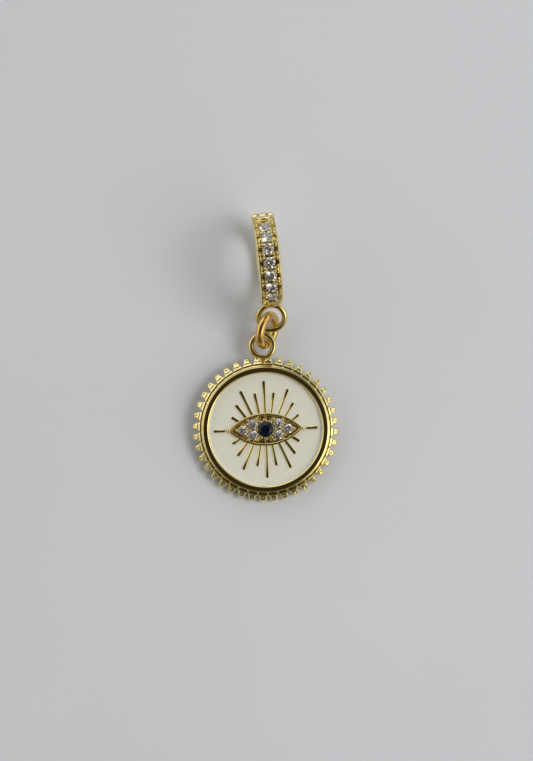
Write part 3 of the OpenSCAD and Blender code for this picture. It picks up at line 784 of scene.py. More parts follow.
def ray_skin(disc, outer, inner, z):
    """A ray: crowned sections along a line, which shrink as a circle does at both ends.

    The crown is flatter and lower towards the outer end, and leans a little to one side."""
    run = outer - inner
    long = np.linalg.norm(run)
    along = run / long
    across = np.array([-along[1], along[0]])
    half = disc.ray_width / 2
    tip = 0.002
    end = half * np.sin(np.radians(np.linspace(0, 90, 7))) * 0.98 + tip
    s = np.concatenate([end, np.linspace(half, long - half, 8)[1:-1], long - end[::-1]])
    size = np.sqrt(1 - np.clip(1 - np.minimum(s, long - s) / half, 0, 1) ** 2)
    outer_end = smooth((s / long - 0.56) / 0.4)[:, None, None]
    cols = 17
    round_flat = 3.0
    outer_flat = 5.0
    outer_high = disc.ray_height * 0.8
    top = crown((0, 0), 1, disc.ray_height, round_flat, 0, 180, cols) * (1 - outer_end)
    top = top + crown((0, 0), 1, outer_high, outer_flat, 0, 180, cols) * outer_end
    lean_high = 0.075
    lean_to = (-0.8, 0.6)
    lean = lean_high * (across @ lean_to) * (1 - 0.8 * outer_end[..., 0])
    lean = lean * top[..., 0] * np.sin(np.radians(np.linspace(0, 180, cols)))
    side = np.ones((len(s), 1))
    root_depth = 0.3
    root = -root_depth * side
    w = np.concatenate([side, top[..., 0], -side], 1)
    h = np.concatenate([root, top[..., 1] - lean, root], 1)
    centre = inner + s[:, None] * along
    flat = centre[:, None, :] + (size[:, None] * w * half)[..., None] * across
    up = np.where(h > 0, h * size[:, None] ** 0.5, h)
    return tube(np.concatenate([flat, (z + up)[..., None]], -1))


def enamel_skin(disc, eye, at):
    """The enamel: a turned sheet that creeps up the rim, and sinks away under the eye.

    The creep falls exponentially with the distance from the rim."""
    gap = 0.012
    hub = 0.15
    edge = disc_radii(disc)[4] - gap
    r = np.concatenate([np.linspace(hub, edge - 0.3, 92), np.linspace(edge - 0.27, edge, 9)])
    r = r[:, None]
    a = np.radians(once_round(360))[None, :]
    x = r * np.sin(a)
    y = r * np.cos(a)
    creep_wide = 0.09
    creep = disc.enamel_creep * np.exp(-(edge - r) / creep_wide)
    outside = np.abs(y) - oval_half(x, at.in_x + eye.lid * 0.6, at.in_y + eye.lid * 0.5)
    sink = 0.6
    z = at.enamel_z + creep - sink * smooth(0.5 - outside / 0.16)
    top = np.stack([x, y, z], -1)
    low = top[::-1].copy()
    low[..., 2] = disc.floor - 0.1
    return tube(np.concatenate([top, low[:1], low[-1:]]))


# Loop and rings

def top_loop(disc, links):
    """The loop at the disc's top, and the solder between its wire and the flange.

    The wire is thinner at its lowest point, by a bell curve. The solder's foot is a row of
    ellipses that are wide and high at the flange and low at the wire."""
    tip, root = disc_radii(disc)[:2]
    wire = links.loop_wire / 2
    radius = links.loop / 2 + wire
    reach = tip + radius + wire - links.loop_bite
    around = once_round(144)
    lowest = 270
    thin_by = 0.13
    thin_over = 28
    thin = thin_by * bell(around - lowest, thin_over)
    loop = wire_ring(radius, wire, around, cols=32, thin=thin)
    loop = shifted(loop, (0, reach, links.loop_height))
    overlap = 0.2
    y = np.linspace(root - overlap, reach - radius, 10)[:, None]
    t = (y - y[0]) / (y[-1] - y[0])
    v = np.radians(once_round(24))[None, :]
    x = wire * (1.2 + 0.4 * (1 - t) ** 2) * np.cos(v)
    z = links.loop_height + wire * (1.15 - 1.1 * t) * np.sin(v)
    return [loop, tube(np.stack([x, y + 0 * v, z], -1))]


def loop_tint_and_shade(disc, points):
    """Share of amber on the loop: an even tint over its wire, and more on the solder as painted shade."""
    return 0.42 + 0.45 * smooth((disc.across / 2 + 0.4 - points[:, 1]) / 0.5)


def jump_ring_skin(links, radius, wire):
    """The jump ring: a round wire whose two ends meet at a thin seam.

    The wire's radius dips by a bell curve of the distance from the seam."""
    near_seam = np.linspace(-2.4, 2.4, 25)
    degrees = np.concatenate([near_seam, np.linspace(5, 355, 141)])
    from_seam = (degrees + 180) % 360 - 180
    deep = 0.16 * wire
    thin = deep * bell(from_seam, np.degrees(links.seam / radius))
    return wire_ring(radius, wire, degrees, cols=40, thin=thin)


# The bail

def bail_layout(bail):
    """Angles and radii round the bail, from the record's joint and mount and from its sizes."""
    hinge_angle, hinge_r = angle_round_bail(np.array(HINGE["pos_m"]) / MM)
    ring_angle = angle_round_bail(mount("chain_seat")[0])[0] + 180
    r = bail.across / 2
    step = 2 * np.degrees(np.arcsin((bail.stone + bail.stone_space) / 2 / (r - bail.stone_sink)))
    stones = bail.stone_mid + step * np.arange(-3, 4)
    latch_r = r - bail.plain_inset - bail.plain_thick / 2
    latch_angle = ring_angle + bail.latch_from_ring
    from_latch = polar(hinge_r, hinge_angle) - polar(latch_r, latch_angle)
    split = np.degrees(np.arctan2(from_latch[1], from_latch[0]))
    return SimpleNamespace(
        r=r, step=step, stones=stones, hinge_angle=hinge_angle, hinge_r=hinge_r,
        ring_angle=ring_angle, latch_r=latch_r, split=split,
        offset=hinge_r * np.sin(np.radians(split - hinge_angle)),
        wide_end=stones[-1] + 1.3 * step, header=stones[0] - 0.74 * step,
        free_x=bail.knuckle_width / 2, fixed_x=bail.knuckle_width / 2 + bail.pass_gap,
        clear=bail.knuckle / 2 + bail.pass_gap,
    )


def on_bail(x, r, degrees):
    """Points of the bail's frame at a place across it, a radius and an angle round it."""
    a = np.radians(degrees)
    return np.stack(np.broadcast_arrays(x, r * np.cos(a), r * np.sin(a)), -1)


def hinge_clear(r, at):
    """Angle from the hinge at which a point at a radius stands clear of the knuckles.

    It solves the triangle of the bail's centre, the hinge and the point."""
    c = (r ** 2 + at.hinge_r ** 2 - at.clear ** 2) / (2 * r * at.hinge_r)
    return np.degrees(np.arccos(np.clip(c, -1, 1)))


def stone_relief(x, arc_mm, bail, at):
    """Depth of the stones' bed, seats and pockets below the face, at a place across and along it.

    The bed between the stones is sunk and hammered, and each stone has its conical seat and a
    round pocket at either side."""
    rail_x = 0.78
    row_end = 0.62
    end_soft = 0.08
    rail_soft = 0.12
    pocket_soft = 0.14
    ripple = 0.035
    mm = np.pi / 180 * at.r
    first = at.stones[0] * mm
    last = at.stones[-1] * mm
    pitch = (last - first) / (len(at.stones) - 1)
    begun = smooth((arc_mm - first + row_end * pitch) / end_soft)
    in_row = begun * smooth((last + row_end * pitch - arc_mm) / end_soft)
    bed = bail.bed_sink * smooth((rail_x - np.abs(x)) / rail_soft + 0.5)
    bed = np.clip(bed + ripple * hammered(x, arc_mm, wave=0.4), 0, None) * in_row
    nearest = np.clip(np.round((arc_mm - first) / pitch), 0, len(at.stones) - 1)
    along = arc_mm - first - pitch * nearest
    seat = bail.stone_sink - seat_height(np.hypot(x, along), bail.stone)
    pocket_x = bail.stone / 2 + bail.pocket_out
    from_pocket = np.hypot(np.abs(x) - pocket_x, along)
    pocket = bail.pocket_depth * smooth((bail.pocket / 2 - from_pocket) / pocket_soft + 0.5)
    return bed, np.maximum(np.maximum(seat, 0), pocket)


def face_relief(x, arc_mm, bail, at):
    """Depth of the front face below its full height, at a place across and along it.

    The rails along both edges fall outwards by a square law, and the stones' bed, seats and
    pockets lie between them. A groove parts the hinge's barrel from the header, a line crosses
    the header, an arched cut parts it from the bed, and a thin line runs along both edges."""
    mm = np.pi / 180 * at.r
    rail_start = 0.7
    rail_share = np.clip(np.abs(x) - rail_start, 0, None) / (bail.face / 2 - rail_start)
    bed, holes = stone_relief(x, arc_mm, bail, at)
    depth = np.maximum(bail.rail_fall * rail_share ** 2 + bed, holes)
    cut_deep = 0.30
    cut_wide = 0.15
    arch_high = 0.40
    arch_half = 0.85
    from_arch = np.abs(arc_mm - at.header * mm - arch_high * (x / arch_half) ** 2)
    arch_cut = cut_deep * smooth(1.4 - from_arch / cut_wide) * smooth((1.0 - np.abs(x)) / 0.16)
    barrel_at = (at.hinge_angle + 4.9) * mm
    barrel = cut_deep * bell(arc_mm - barrel_at, cut_wide)
    line_deep = 0.15
    line_at = (at.hinge_angle + 16.3) * mm
    line = line_deep * bell(arc_mm - line_at - 0.1 * x ** 2, 0.08)
    end_deep = 0.22
    end = end_deep * smooth((arc_mm - at.wide_end * mm + 0.34) / 0.36)
    edge_deep = 0.16
    edge_in = 0.075
    edge_line = edge_deep * bell(np.abs(x) - bail.face / 2 + edge_in, 0.045)
    return np.maximum(depth, arch_cut) + barrel + line + end + edge_line


def front_section(bail, at, cols):
    """The wide front's section as places across and radii, with the face's points first.

    It runs over the face, down one flank, back over the inside with the same places across, and
    up the other flank. A flank slopes from the face to an upright side, and is bevelled at the
    inside."""
    face = bail.face / 2
    half = bail.width / 2
    inner = at.r - bail.thick
    edge = half - face
    x_face = np.linspace(-face, face, cols)
    flank = np.array([
        (face + 0.02, at.r - bail.rail_fall - 0.015), (face + edge * 0.5, at.r - bail.slope * 0.62),
        (half - 0.015, at.r - bail.slope * 0.93), (half, at.r - bail.slope - 0.06),
        (half, inner + edge + 0.03), (half - 0.03, inner + edge * 0.7), (face + 0.02, inner + 0.01),
    ])
    x = np.concatenate([x_face, flank[:, 0], x_face[::-1], -flank[::-1, 0]])
    r = np.concatenate([np.full(cols, at.r), flank[:, 1], np.full(cols, inner), flank[::-1, 1]])
    return x, r


def collapsed(x, r, edge_x, steps):
    """Rings that shrink a section to its middle line, for closing an end without a hub."""
    middle = (r.max() + r.min()) / 2
    c = np.linspace(1, 0, steps)[1:, None]
    out_x = np.clip(x, -edge_x, edge_x)
    return out_x + (x - out_x) * c, middle + (r - middle) * c


def wide_front(bail, at):
    """The bail's stone-set front: its section carried round from the hinge to the plain end.

    The first rows start clear of the gate's knuckle and run into the fixed ones. The rows along
    the stones are evenly spaced, and the section narrows a little at its end."""
    cols = 64
    end_rings = 7
    row_gap = 0.036
    last_gap = 0.2
    end_width = 0.90
    narrow_over = 5
    x, r = front_section(bail, at, cols)
    zone = at.header - 4
    regular = np.arange(zone, at.wide_end - last_gap, np.degrees(row_gap / at.r))
    regular = np.append(regular, at.wide_end)

    def start(x, r):
        """First angle of the metal: at the hinge, or clear of the gate's knuckle."""
        return at.hinge_angle + np.where(np.abs(x) < at.fixed_x, hinge_clear(r, at), 0)

    t = np.linspace(0, 1, 18)[:-1, None]
    first = start(x, r)[None, :] * (1 - t) + zone * t
    theta = np.concatenate([first, np.broadcast_to(regular[:, None], (len(regular), len(x)))])
    radius = np.broadcast_to(r, theta.shape).copy()
    radius[:, :cols] -= face_relief(x[:cols], np.radians(theta[:, :cols]) * at.r, bail, at)
    end_x, start_r = collapsed(x, radius[0], bail.face / 2, end_rings)
    end_r = collapsed(x, radius[-1], bail.face / 2, end_rings)[1]
    narrow = 1 - (1 - end_width) * smooth((theta - at.wide_end) / narrow_over + 1)
    grid = np.concatenate([
        on_bail(end_x, start_r, start(end_x, start_r))[::-1],
        on_bail(x[None, :] * narrow, radius, theta),
        on_bail(end_x * end_width, end_r, at.wide_end),
    ])
    return welded(grid.reshape(-1, 3), grid_faces(*grid.shape[:2], False, True))


# Number of points round the plain half's section and the latch tongue's
PLAIN_COLS = 48


def plain_angles():
    """Angles round the plain section, a quarter of them between each pair of its corners."""
    return once_round(PLAIN_COLS) + 180 / PLAIN_COLS


def plain_section(bail, at):
    """The plain half's section, a rectangle with round corners, as places across and radii."""
    corner = 0.24
    rim = polar(corner, plain_angles())
    half = np.array([bail.plain_width, bail.plain_thick]) / 2 - corner
    x, r = (np.sign(rim) * half + rim).T
    return x, at.latch_r + r


def tongue_section(bail, at, gap):
    """The latch tongue's section, a rectangle, with as many points as the plain section."""
    c = polar(1, plain_angles())
    half = np.array([bail.tongue_width, bail.tongue_thick]) / 2 + gap
    x, r = (c / np.abs(c).max(1)[:, None] * half).T
    return x, at.latch_r + r


def split_angle(r, at, shift=0.0):
    """Angle at which the plane through the hinge and the latch cuts a circle of radius r.

    The plane may be shifted towards the front."""
    return at.split + 180 + np.degrees(np.arcsin((at.offset - shift) / r))


def plain_half(bail, at, start, t, gap, shift=0.0, turn=0):
    """The plain section carried from its start to the latch's plane, at the shares t of the way.

    From there the tongue's section, widened by a gap, runs by the tongue's length towards smaller
    angles: back into the front's tail as a slot, or on beyond the gate's end as a tongue."""
    x, r = plain_section(bail, at)
    tongue_x, tongue_r = tongue_section(bail, at, gap)
    end = split_angle(r, at, shift) + turn
    tongue_end = split_angle(tongue_r, at, shift) + turn
    depth = np.degrees((bail.tongue_long + gap) / at.latch_r)
    return tube(np.concatenate([
        on_bail(x, r, start + (end - start) * t), on_bail(tongue_x, tongue_r, tongue_end)[None],
        on_bail(tongue_x, tongue_r, tongue_end - depth)[None],
    ]))


def plain_tail(bail, at):
    """The front's plain lower end, from inside the wide part to the latch, with a slot in its end."""
    overlap = 4
    t = np.linspace(0, 1, 60)[:, None]
    return plain_half(bail, at, at.wide_end - overlap, t, gap=bail.pass_gap)


def ring_under_bail(bail, links, at):
    """The ring that is soldered under the bail, and its solder foot, a row of ellipses."""
    wire = links.ring_wire / 2
    radius = links.ring / 2 + wire
    reach = at.r - links.ring_bite + radius + wire
    out = on_bail(0, 1, at.ring_angle)
    axes = np.array([(1, 0, 0), out, on_bail(0, 1, at.ring_angle + 90)])
    ring = moved(wire_ring(radius, wire, once_round(144), cols=32), out * reach, axes)
    t = np.linspace(0, 1, 8)[:, None]
    high = t * (reach - radius - at.latch_r)
    narrowing = 0.30
    oval = 1.25
    size = bail.plain_thick / 2 * (1 - narrowing * smooth(t))
    v = np.radians(once_round(36))[None, :]
    foot = np.stack([size * oval * np.cos(v), high + 0 * v, size * np.sin(v)], -1)
    return [ring, moved(tube(foot), out * at.latch_r, axes)]


def knuckle(bail, at, x0, x1, edge0=0.24, edge1=0.24):
    """A hinge knuckle between two places across the bail: a drum with rounded edges."""
    r = bail.knuckle / 2
    hub = 0.05
    profile = np.concatenate([
        [(hub, x0), (r * 0.5, x0)], arc((r - edge0, x0 + edge0), edge0, -90, 0, steps=8),
        arc((r - edge1, x1 - edge1), edge1, 0, 90, steps=8), [(r * 0.5, x1), (hub, x1)],
    ])
    points, quads, tris = turned(profile, cols=64)
    return outward(points[:, [2, 0, 1]] + on_bail(0, at.hinge_r, at.hinge_angle), quads, tris)


def bail_beads(bail, at):
    """Four beads round each bail stone, and two on each rail between neighbouring stones.

    They stand before and behind their place in the row by a share of the stones' spacing."""
    bead_x = 0.42 * bail.stone
    bead_r = at.r - 0.02
    kinds = (
        (at.stones, 0.38 * at.step, bead_x, bead_r, bail.bead, 16, 9),
        (at.stones + at.step / 2, 0.16 * at.step, bail.edge_bead_x, at.r, bail.edge_bead, 14, 7),
    )
    beads = []
    for angles, along, x, r, across, cols, rows in kinds:
        turns = (angles[:, None] + np.array([-along, along])).ravel()
        places = [on_bail(side * x, r, turn) for turn in turns for side in (-1, 1)]
        beads += [ball(place, across / 2, cols, rows) for place in places]
    return beads


def bail_front_skins(bail, links, at):
    """The wide front, its plain end, the beads, the fixed knuckles and the ring below."""
    half = bail.width / 2
    outer_edge = 0.30
    skins = [
        wide_front(bail, at), plain_tail(bail, at),
        knuckle(bail, at, at.fixed_x, half, edge1=outer_edge),
        knuckle(bail, at, -half, -at.fixed_x, edge0=outer_edge),
    ]
    return skins + ring_under_bail(bail, links, at) + bail_beads(bail, at)


def gate_skins(bail, at):
    """The gate: the plain section from its knuckle round the back to the latch tongue."""
    x, r = plain_section(bail, at)
    start = at.hinge_angle - np.where(np.abs(x) > at.free_x, hinge_clear(r, at), 0)
    crowding = 1.15
    t = np.linspace(0, 1, 110)[:, None] ** crowding
    body = plain_half(bail, at, start, t, gap=0, shift=-bail.pass_gap / 2, turn=-360)
    return [body, knuckle(bail, at, -at.free_x, at.free_x)]


def hinge_painted_shade(bail, at, points):
    """Share of amber painted shade in the gaps between the hinge's knuckles, as a bell across each gap."""
    gap = np.abs(points[:, 0]) - (at.free_x + at.fixed_x) / 2
    hinge = on_bail(0, at.hinge_r, at.hinge_angle)
    away = np.hypot(points[:, 1] - hinge[1], points[:, 2] - hinge[2])
    return 0.9 * bell(gap, 0.16) * smooth((bail.knuckle / 2 + 0.2 - away) / 0.1)


def bail_painted_shade(bail, at, points):
    """Share of amber painted shade on the bail's front: most in the pockets, the bed and the hinge's gaps.

    There is none on the rails. The plain end below gets the painted shade too, most of all at its ring."""
    edge_x = 1.17
    bed_top = 0.07
    bed_floor = 0.9
    pit_top = 0.25
    below_end = 240
    radius = np.hypot(points[:, 1], points[:, 2])
    angle = np.degrees(np.arctan2(points[:, 2], points[:, 1])) % 360
    front = smooth((points[:, 2] + 1) / 0.5) * smooth((edge_x - np.abs(points[:, 0])) / 0.06)
    bed = smooth((at.r - bed_top - radius) / 0.16) * smooth((radius - at.r + bed_floor) / 0.1)
    pit = bed * smooth((at.r - pit_top - radius) / 0.15)
    end = smooth((angle - at.wide_end + 9) / 4)
    face = front * np.maximum(0.6 * bed + 0.4 * pit, 0.8 * end)
    below = smooth((angle - at.wide_end) / 2) * smooth((below_end - angle) / 20)
    saddle = smooth((at.r + 0.5 - radius) / 0.3)
    face = np.maximum(face, hinge_painted_shade(bail, at, points))
    return np.maximum(face, below * (0.6 + 0.4 * saddle))


# Materials

def node(tree, kind, inputs, **settings):
    """A shader node's outputs, once its settings and its inputs are set.

    An input is a number, a vector, a colour or another node's output."""
    made = tree.nodes.new("ShaderNode" + kind)
    for name, value in settings.items():
        setattr(made, name, value)
    for name, value in inputs.items():
        if isinstance(value, bpy.types.NodeSocket):
            tree.links.new(value, made.inputs[name])
        else:
            made.inputs[name].default_value = value
    return made.outputs


def new_material(name, **inputs):
    """A material with one Principled shader, and its inputs set on their own sockets."""
    material = bpy.data.materials.new(name)
    material.use_nodes = True
    shader = material.node_tree.nodes["Principled BSDF"]
    for key, value in inputs.items():
        socket = shader.inputs[key.replace("_", " ")]
        socket.default_value = (*value, 1.0) if socket.type == "RGBA" else value
    return material, material.node_tree, shader


def grain(tree, scale, detail=3.0):
    """A noise over the object's own coordinates, with scale counted in grains to a millimetre."""
    place = node(tree, "TexCoord", {})["Object"]
    return node(tree, "TexNoise", {"Vector": place, "Scale": scale / MM, "Detail": detail})["Fac"]


def between(tree, factor, low, high, start=0.3, end=0.7):
    """A factor that runs between two values as it goes from its start to its end."""
    return node(tree, "MapRange", {
        "Value": factor, "From Min": start, "From Max": end, "To Min": low, "To Max": high
    })["Result"]


def mixed(tree, factor, first, second, blend="MIX"):
    """A colour between two, by a factor; each is three numbers or a node's output."""
    first, second = (
        c if isinstance(c, bpy.types.NodeSocket) else (*c, 1.0) for c in (first, second)
    )
    inputs = {"Factor": factor, "A": first, "B": second}
    return node(tree, "Mix", inputs, data_type="RGBA", blend_type=blend)["Result"]


def scaled(rgb, by):
    """A colour times a number or, one by one, times three numbers."""
    return tuple(float(c) for c in np.array(rgb) * by)


def drift(tree, shader, scale, first, second):
    """Lets the base colour drift between two colours in slow patches."""
    tone = mixed(tree, between(tree, grain(tree, scale), 0, 1), first, second)
    tree.links.new(tone, shader.inputs["Base Color"])


def bump(tree, shader, scale, depth, detail=3.0):
    """A relief of a depth in millimetres, with scale counted in grains to a millimetre."""
    inputs = {"Strength": 1.0, "Distance": depth * MM, "Height": grain(tree, scale, detail)}
    tree.links.new(node(tree, "Bump", inputs)["Normal"], shader.inputs["Normal"])


def plated(name, rgb, painted_shade_amber, rough, rough_spread, ripple, ripple_scale):
    """Gold plating: its colour and roughness drift a little, over a fine cast ripple.

    It is mixed towards amber by the piece's recess attribute: painted shade where the metal lies deep in hollows
    and gaps, and an even tint on the loop's wire."""
    material, tree, shader = new_material(name, Base_Color=rgb, Metallic=1.0, Roughness=rough)
    warm = scaled(rgb, (1.04, 0.95, 0.82))
    cool = scaled(rgb, (0.97, 1.02, 1.08))
    tone = mixed(tree, between(tree, grain(tree, scale=0.35), 0, 1), warm, cool)
    # painted shade: amber mixed in by a per-point share, darkening and warming hollows and gaps
    recess = node(tree, "Attribute", {}, attribute_name="recess")["Fac"]
    tree.links.new(mixed(tree, recess, tone, painted_shade_amber), shader.inputs["Base Color"])
    scuffs = grain(tree, scale=2.2, detail=5.0)
    scuff = between(tree, scuffs, rough - rough_spread, rough + rough_spread)
    tree.links.new(scuff, shader.inputs["Roughness"])
    bump(tree, shader, ripple_scale, ripple, detail=2.0)
    return material


def make_materials(finish):
    """Every finish, by the name of its slot."""
    enamel, tree, shader = new_material(
        "cream_enamel_finish", Base_Color=finish.enamel, Roughness=0.16, Coat_Weight=0.5,
        Coat_Roughness=0.05
    )
    drift(tree, shader, scale=0.5, first=finish.enamel, second=scaled(finish.enamel, by=0.965))
    bump(tree, shader, scale=1.2, depth=0.006)
    iris, tree, shader = new_material(
        "dark_stone_finish", Base_Color=finish.iris, Roughness=0.04, IOR=1.77,
        Specular_IOR_Level=0.2
    )
    bump(tree, shader, scale=3.0, depth=0.001)
    clear, tree, shader = new_material(
        "clear_stone_finish", Base_Color=finish.clear, Roughness=0.015, IOR=2.2,
        Transmission_Weight=0.94
    )
    bump(tree, shader, scale=3.0, depth=0.0008)
    return {
        "polished_gold": plated(
            "polished_gold_finish", finish.gold, finish.painted_shade_amber, rough=0.07, rough_spread=0.03,
            ripple=0.006, ripple_scale=1.6
        ),
        "satin_gold": plated(
            "satin_gold_finish", finish.satin, finish.painted_shade_amber, rough=0.26, rough_spread=0.07,
            ripple=0.008, ripple_scale=4.0
        ),
        "cream_enamel": enamel,
        "dark_stone": iris,
        "clear_stone": clear,
    }


FINISHES_MADE = {}


def finish_of(slot_name):
    """A finish by its slot, made with the others when it is first asked for."""
    if not FINISHES_MADE:
        FINISHES_MADE.update(make_materials(values(bpy.context.scene, "finishes")))
    return FINISHES_MADE[slot_name]


# Pieces

def eye_values(scene):
    """The disc's and the eye's values, and the eye's layout."""
    disc = values(scene, "disc")
    eye = values(scene, "eye")
    return disc, eye, eye_layout(disc, eye)


def add_piece(name, skins, where, slot_name, body, replaced, recess=None):
    """A new piece: its skins joined, placed in metres, shaded smooth up to a crease angle.

    It rides on its body and stands for the solid that it replaces. Where recess is given, it
    gives from the points each one's share of amber: painted shade in hollows and gaps, or the loop's even tint."""
    crease = np.radians(40)
    whole = joined(skins)
    points, quads, tris = placed(whole, where)
    mesh = bpy.data.meshes.new(name)
    corners = np.concatenate([quads.ravel(), tris.ravel()])
    starts = np.concatenate([4 * np.arange(len(quads)), 4 * len(quads) + 3 * np.arange(len(tris))])
    mesh.vertices.add(len(points))
    mesh.vertices.foreach_set("co", points.ravel())
    mesh.loops.add(len(corners))
    mesh.loops.foreach_set("vertex_index", corners.astype(np.int32))
    mesh.polygons.add(len(starts))
    mesh.polygons.foreach_set("loop_start", starts.astype(np.int32))
    mesh.update(calc_edges=True)
    mesh.validate()
    mesh.shade_smooth()
    mesh.set_sharp_from_angle(angle=crease)
    # painted shade: a per-point share of amber that the plating mixes in
    if recess:
        deep = mesh.attributes.new("recess", "FLOAT", "POINT")
        deep.data.foreach_set("value", recess(whole[0]).astype(np.float32))
    mesh.materials.append(finish_of(slot_name))
    piece = bpy.data.objects.new(name, mesh)
    bpy.context.scene.collection.objects.link(piece)
    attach(piece, body)
    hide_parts(replaced)


def dress_nodes(names, slot_name):
    """Gives solids that keep their shape their finish."""
    for name in names:
        materials = frame["nodes"][name].data.materials
        materials.clear()
        materials.append(finish_of(slot_name))


class PENDANT_OT_disc(bpy.types.Operator):
    """Add the toothed disc with its rim"""

    bl_idname = "pendant.add_disc"
    bl_label = "Disc"

    def execute(self, context):
        skins = disc_plate(values(context.scene, "disc"))
        add_piece("disc_plate", skins, disc_frame(), "polished_gold", PENDANT, "medallion")
        return {"FINISHED"}


class PENDANT_OT_eye(bpy.types.Operator):
    """Add the eye's lids, bed and bead prongs"""

    bl_idname = "pendant.add_eye"
    bl_label = "Eye setting"

    def execute(self, context):
        disc, eye, at = eye_values(context.scene)
        skins = eye_setting(disc, eye, at)
        # amber painted shade in the eye's valleys
        recess = partial(eye_painted_shade, at)
        add_piece("eye_setting", skins, disc_frame(), "polished_gold", PENDANT, "medallion", recess)
        return {"FINISHED"}


class PENDANT_OT_rays(bpy.types.Operator):
    """Add the rays round the eye"""

    bl_idname = "pendant.add_rays"
    bl_label = "Rays"

    def execute(self, context):
        disc, eye, at = eye_values(context.scene)
        skins = [ray_skin(disc, *ends, at.enamel_z) for ends in ray_ends(disc, eye, at)]
        add_piece("rays", skins, disc_frame(), "polished_gold", PENDANT, "medallion")
        return {"FINISHED"}


class PENDANT_OT_enamel(bpy.types.Operator):
    """Add the enamel between the rim and the eye"""

    bl_idname = "pendant.add_enamel"
    bl_label = "Enamel"

    def execute(self, context):
        skins = [enamel_skin(*eye_values(context.scene))]
        add_piece("enamel_field", skins, disc_frame(), "cream_enamel", PENDANT, "enamel")
        return {"FINISHED"}


class PENDANT_OT_links(bpy.types.Operator):
    """Add the loop on the disc and the jump ring"""

    bl_idname = "pendant.add_links"
    bl_label = "Loop and jump ring"

    def execute(self, context):
        disc = values(context.scene, "disc")
        links = values(context.scene, "links")
        loop = top_loop(disc, links)
        # amber tint on the loop's wire, and painted shade on its solder
        recess = partial(loop_tint_and_shade, disc)
        add_piece("top_loop", loop, disc_frame(), "polished_gold", PENDANT, "medallion", recess)
        where, radius, wire = ring_frame("jump_ring")
        ring = [jump_ring_skin(links, radius, wire)]
        add_piece("link_ring", ring, where, "satin_gold", PENDANT, "jump_ring")
        return {"FINISHED"}


class PENDANT_OT_bail(bpy.types.Operator):
    """Add the bail's stone-set front and its gate"""

    bl_idname = "pendant.add_bail"
    bl_label = "Bail"

    def execute(self, context):
        bail = values(context.scene, "bail")
        links = values(context.scene, "links")
        at = bail_layout(bail)
        where = bail_frame()
        front = bail_front_skins(bail, links, at)
        # amber painted shade in the bail's bed, pockets, hinge gaps and lower end
        recess = partial(bail_painted_shade, bail, at)
        add_piece("bail_face", front, where, "polished_gold", PENDANT, "bail_front", recess)
        # amber painted shade in the gaps between the gate's knuckle and the fixed ones
        recess = partial(hinge_painted_shade, bail, at)
        gate = gate_skins(bail, at)
        add_piece("bail_back", gate, where, "polished_gold", GATE, "bail_gate", recess)
        dress_nodes(["hinge_pin"], "polished_gold")
        return {"FINISHED"}


class PENDANT_OT_stones(bpy.types.Operator):
    """Give the cut stones their finish"""

    bl_idname = "pendant.dress_stones"
    bl_label = "Stones"

    def execute(self, context):
        dress_nodes(["iris_stone"], "dark_stone")
        dress_nodes(sorted(n for n in frame["nodes"] if "_stone_" in n), "clear_stone")
        return {"FINISHED"}


# The stage

# Shades of the surroundings by the height of their direction, from the horizon upwards
SKY_SHADES = (
    (0.0, (0.80, 0.80, 0.80)), (0.25, (1.00, 1.00, 1.00)), (0.62, (1.06, 1.06, 1.05)),
    (0.74, (0.33, 0.29, 0.20)), (0.84, (0.13, 0.10, 0.05)), (0.92, (0.045, 0.037, 0.022)),
    (1.0, (0.036, 0.029, 0.018)),
)
# Soft patches of the surroundings: their direction, the cosine of the angle at which they
# begin, and how much brighter they are in their middle
SKY_PATCHES = (
    ((0.72, -0.37, 0.58), 0.80, 0.62), ((0.68, -0.34, 0.65), 0.94, 1.10),
    ((0.55, 0.60, 0.58), 0.83, -0.72), ((-0.55, 0.60, 0.58), 0.86, -0.25),
)
# Cosine of the angle inside which a patch has its full strength
PATCH_FULL = 0.985
# Tint of the surroundings where they are dimmest
DIM_TINT = (1.0, 0.90, 0.66)
# Places, in millimetres: the soft light, and the point of the disc's frame under the camera
KEY_PLACE = (300, 40, 400)
CAMERA_OVER = (0.33, 5.68, 1.45)
# Height of the camera's sensor, in millimetres, and half the width of the floor, in metres
SENSOR = 24
HALF_FLOOR = 1.5


def add_floor(look):
    """A flat floor, wide enough to fill every view."""
    mesh = bpy.data.meshes.new("floor")
    corners = [(HALF_FLOOR * x, HALF_FLOOR * y, 0) for x, y in ((-1, -1), (1, -1), (1, 1), (-1, 1))]
    mesh.from_pydata(corners, [], [(0, 1, 2, 3)])
    material, tree, shader = new_material("paper", Base_Color=look.floor, Roughness=0.7)
    drift(tree, shader, scale=0.02, first=look.floor, second=scaled(look.floor, by=1.04))
    mesh.materials.append(material)
    floor = bpy.data.objects.new("floor", mesh)
    bpy.context.scene.collection.objects.link(floor)


